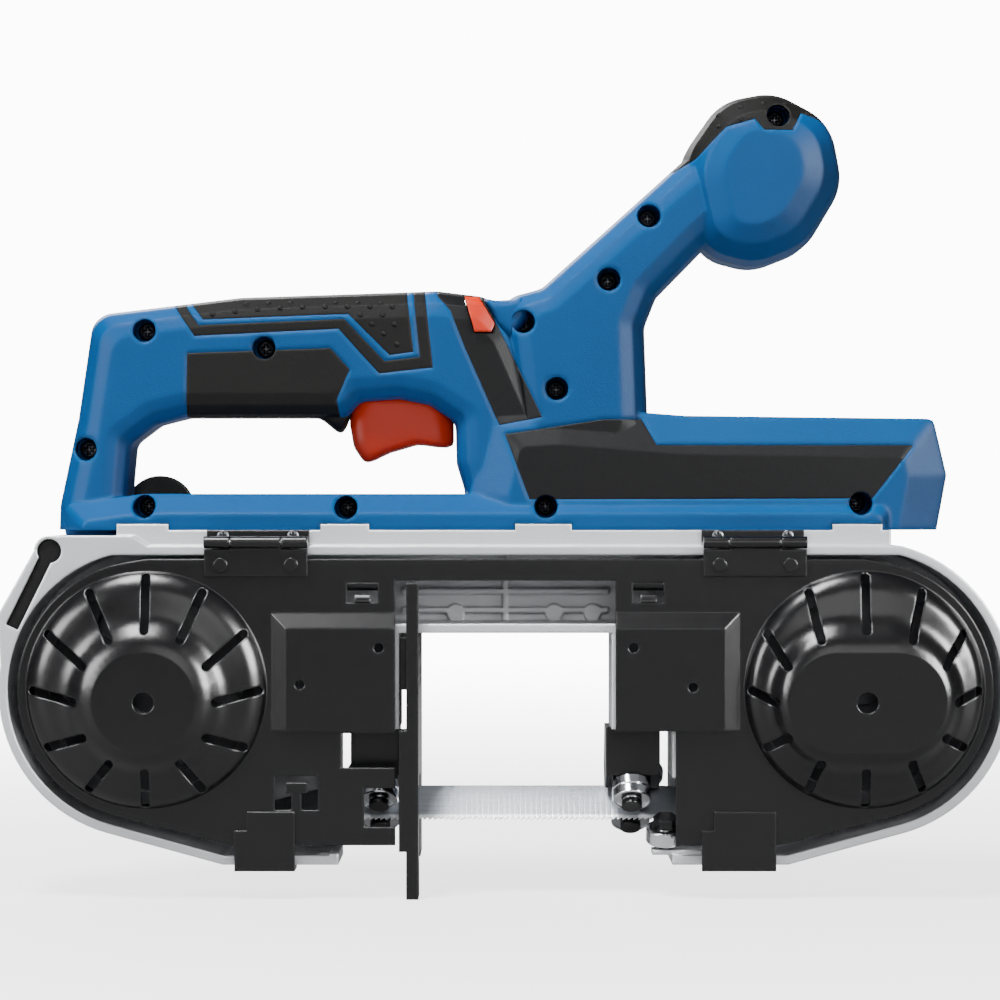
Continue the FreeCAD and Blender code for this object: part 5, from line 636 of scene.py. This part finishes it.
def raised_dots(name, node, picture):
    """Low domes on a pad: each picture point is followed along the line of sight to the pad, where rings
    of falling radius rise along the pad's normal; the far side has their mirror images."""
    mesh = frame["nodes"][node].data
    mesh.calc_loop_triangles()
    corners = np.empty((len(mesh.loop_triangles), 3), np.int32)
    mesh.loop_triangles.foreach_get("vertices", corners.ravel())
    points = np.empty((len(mesh.vertices), 3), np.float32)
    mesh.vertices.foreach_get("co", points.ravel())
    tree = BVHTree.FromPolygons(points.tolist(), corners.tolist())
    hits = [tree.ray_cast(Vector(camera_place), sight(px, py)) for px, py in picture]
    middle = np.array([hit[0] for hit in hits if hit[0] is not None])
    normal = np.array([hit[1] for hit in hits if hit[0] is not None])
    flip = np.array((1.0, -1.0, 1.0))
    body_middle = np.array((0.0, 2 * drive_middle[1], 0.0))
    middle = np.concatenate((middle, middle * flip + body_middle))
    normal = np.concatenate((normal, normal * flip))
    level = np.cross(normal, (0.0, 0.0, 1.0))
    level = level / np.linalg.norm(level, axis=1, keepdims=True)
    other = np.cross(normal, level)
    angle = np.linspace(0, math.tau, dot_steps, endpoint=False)
    ring = np.cos(angle)[:, None] * level[:, None] + np.sin(angle)[:, None] * other[:, None]
    around = dot_radii[:, None, None] * ring[:, None]
    above = dot_heights[:, None, None] * normal[:, None, None]
    surface(name, middle[:, None, None] + around + above, True, black_rubber, "body")


lip_start = 314
lip_end = 349
lip_level = 418.7
lip_depth = 5.0 * MM
lip_half = 11.5 * MM
lip_root = 1.0 * MM
lip_lean = 2.4
lip_bulge = 0.8
lip_side_power = 4
lip_turn = 0.98 * math.pi
lip_columns = 25
lip_rows = 17


def finger_lip():
    """Lip under the grip ahead of the fingers: its depth is a lopsided bump along the grip, faded across
    the width by a super-ellipse; its upper side lies inside the grip."""
    along = np.linspace(0, 1, lip_columns)
    across = np.sin(np.linspace(-0.5, 0.5, lip_rows) * lip_turn)[:, None]
    bump = np.sin(math.pi * along ** lip_lean) ** lip_bulge
    depth = lip_depth * bump * np.sqrt(1 - across ** lip_side_power)
    x, under = body_place(lip_start + (lip_end - lip_start) * along, lip_level)
    x = np.broadcast_to(x, depth.shape)
    y = np.broadcast_to(drive_middle[1] + lip_half * across, depth.shape)
    low = np.stack((x, y, under - depth), axis=-1)
    high = np.stack((x, y, np.full_like(depth, under + lip_root)), axis=-1)
    return np.concatenate((low, high[:, ::-1]), axis=1)


surface("finger_lip", finger_lip(), True, black_rubber, "body")
raised_dots("grip_dots", "grip_top", grip_dots)
raised_dots("knob_dots", "front_grip", knob_dots)

# Neck band and side panels: black mouldings set into the body, the band round the handle's neck with
# the lock-off button in it, the panels along the beam.
black_plastic = skin(
    "black_moulding", shade(8, 9, 11), shade(13, 14, 16), shade(50, 52, 56),
    roughness=0.46, grain=2200, patch=36, bump=0.25, radius=0.0009, shine=0.12,
)
dress(black_plastic, "neck_band", "side_panels")

# Trigger and lock-off button: smooth orange mouldings. The trigger slides up into the grip against its
# spring, and the button, with a black collar round its middle, slides across to free it.
# The lighter edge tone of the orange is a painted highlight along its rounded edges.
orange_plastic = skin(
    "orange_moulding", shade(196, 36, 0), shade(208, 44, 0), shade(236, 84, 24),
    roughness=0.36, grain=2600, patch=30, bump=0.06, radius=0.0012, edge_wear_and_sheen=0.3, shine=0.25,
)
dress(orange_plastic, "lock_off_button")
trigger_half = 7.9 * MM
trigger_picture = (
    (364, 463), (371, 463), (390, 454), (419, 445.5), (454, 450), (454, 422.5),
    (447, 390), (358, 390), (350.5, 412), (350, 425), (354, 448),
)
trigger_heart = (390, 425)
trigger_points = cushion(trigger_picture, trigger_heart, trigger_half, soft_fall, soft_across)
trigger = surface("finger_trigger", trigger_points, True, orange_plastic, "trigger")
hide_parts("trigger")
button_picture = ((475, 335), (492, 335), (495, 327), (479, 300), (465, 300))
button_heart = (480, 319)
collar_rise = 0.24 * MM
collar_half = 5.0 * MM
collar_steps = 72
button_reach, button_angle = outline_reach(button_picture, button_heart, collar_steps)
collar_reach = button_reach + collar_rise / body_pixel
collar_px = button_heart[0] + collar_reach * np.cos(button_angle)
collar_py = button_heart[1] - collar_reach * np.sin(button_angle)
collar_x, collar_z = body_place(collar_px, collar_py)
collar_sides = drive_middle[1] + np.array((-1, 1))[:, None] * collar_half
collar = np.stack(np.broadcast_arrays(collar_x, collar_sides, collar_z), axis=-1)
surface("button_collar", collar, True, black_plastic, "lock_off")

# Battery place and wiring: a black rail tray with brass blades in a black block, the switch under the
# grip and the control board in the beam.
brass = skin(
    "brass_blades", shade(170, 130, 60), shade(196, 156, 84), shade(226, 196, 132),
    roughness=0.28, metallic=1.0,
)
dress(black_plastic, "battery_socket", "terminal_block", "switch_module", "control_module")
dress(brass, "terminal_blades")

# Hanging hook: a bent hook of black steel on a disc at the far side of the beam. One screw holds the
# disc, and the hook swings out on it.
dress(black_steel, "hang_hook")

# Stage: a pale floor under the saw, a white surround, a soft key light at the upper left, a weak fill in
# front, two strips beside the saw that only show in its gloss, a light behind it, and the camera in front
# of the wheel cover.
floor_reach = 6.0
floor_corners = np.array(((-1, -1, 0), (1, -1, 0), (1, 1, 0), (-1, 1, 0))) * floor_reach
floor_mesh = bpy.data.meshes.new("pale_floor")
floor_mesh.from_pydata(floor_corners.tolist(), [], [(0, 1, 2, 3)])
pale_floor = skin(
    "pale_floor", shade(158, 158, 158), shade(164, 164, 164), shade(164, 164, 164),
    roughness=0.7, shine=0.1,
)


def fade_floor(nodes, link):
    """Let the floor run out into the white surround: light of its own that grows with the distance from
    the saw and is seen by the camera alone."""
    place = nodes.new("ShaderNodeTexCoord")
    far = nodes.new("ShaderNodeVectorMath")
    far.operation = "LENGTH"
    link(place.outputs["Object"], far.inputs[0])
    fade = nodes.new("ShaderNodeMapRange")
    fade.interpolation_type = "SMOOTHSTEP"
    fade.inputs["From Min"].default_value = 0.0
    fade.inputs["From Max"].default_value = 2.0
    fade.inputs["To Min"].default_value = 0.2
    link(far.outputs["Value"], fade.inputs["Value"])
    seen = nodes.new("ShaderNodeLightPath")
    glow = nodes.new("ShaderNodeMath")
    glow.operation = "MULTIPLY"
    link(fade.outputs["Result"], glow.inputs[0])
    link(seen.outputs["Is Camera Ray"], glow.inputs[1])
    link(glow.outputs["Value"], nodes["Principled BSDF"].inputs["Emission Color"])
    nodes["Principled BSDF"].inputs["Emission Strength"].default_value = 12.0


fade_floor(pale_floor.node_tree.nodes, pale_floor.node_tree.links.new)
floor_mesh.materials.append(pale_floor)
floor = bpy.data.objects.new("pale_floor", floor_mesh)
bpy.context.scene.collection.objects.link(floor)
surround = bpy.data.worlds.new("white_surround")
surround.use_nodes = True
backdrop = surround.node_tree.nodes["Background"]
backdrop.inputs["Color"].default_value = (1, 1, 1, 1)
paths = surround.node_tree.nodes.new("ShaderNodeLightPath")
levels = surround.node_tree.nodes.new("ShaderNodeMapRange")
levels.inputs["To Min"].default_value = 0.12
levels.inputs["To Max"].default_value = 12.0
surround.node_tree.links.new(paths.outputs["Is Camera Ray"], levels.inputs["Value"])
surround.node_tree.links.new(levels.outputs["Result"], backdrop.inputs["Strength"])
bpy.context.scene.world = surround
target = Vector((0, -0.01, 0.12))
for name, place, size, power, lit in (
    ("key_light", (-0.35, -0.5, 1.4), 0.5, 52, True),
    ("fill_light", (0.1, -1.4, 0.5), 0.6, 4, True),
    ("left_strip", (-0.9, -0.8, 0.45), 0.5, 22, False),
    ("right_strip", (0.9, -0.8, 0.45), 0.5, 56, False),
    ("rear_light", (-0.5, 1.2, 0.9), 0.8, 20, True),
):
    lamp = bpy.data.lights.new(name, "AREA")
    lamp.energy = power
    lamp.size = size
    holder = bpy.data.objects.new(name, lamp)
    holder.visible_diffuse = lit
    holder.location = place
    holder.rotation_euler = (target - Vector(place)).to_track_quat("-Z", "Y").to_euler()
    bpy.context.scene.collection.objects.link(holder)
sensor_width = 36
lens = bpy.data.cameras.new("front_camera")
lens.sensor_width = sensor_width
lens.lens = sensor_width / (picture_width * camera_pixel)
eye = bpy.data.objects.new("front_camera", lens)
eye.location = camera_place
eye.rotation_euler = (math.pi / 2, 0, 0)
bpy.context.scene.collection.objects.link(eye)
bpy.context.scene.camera = eye
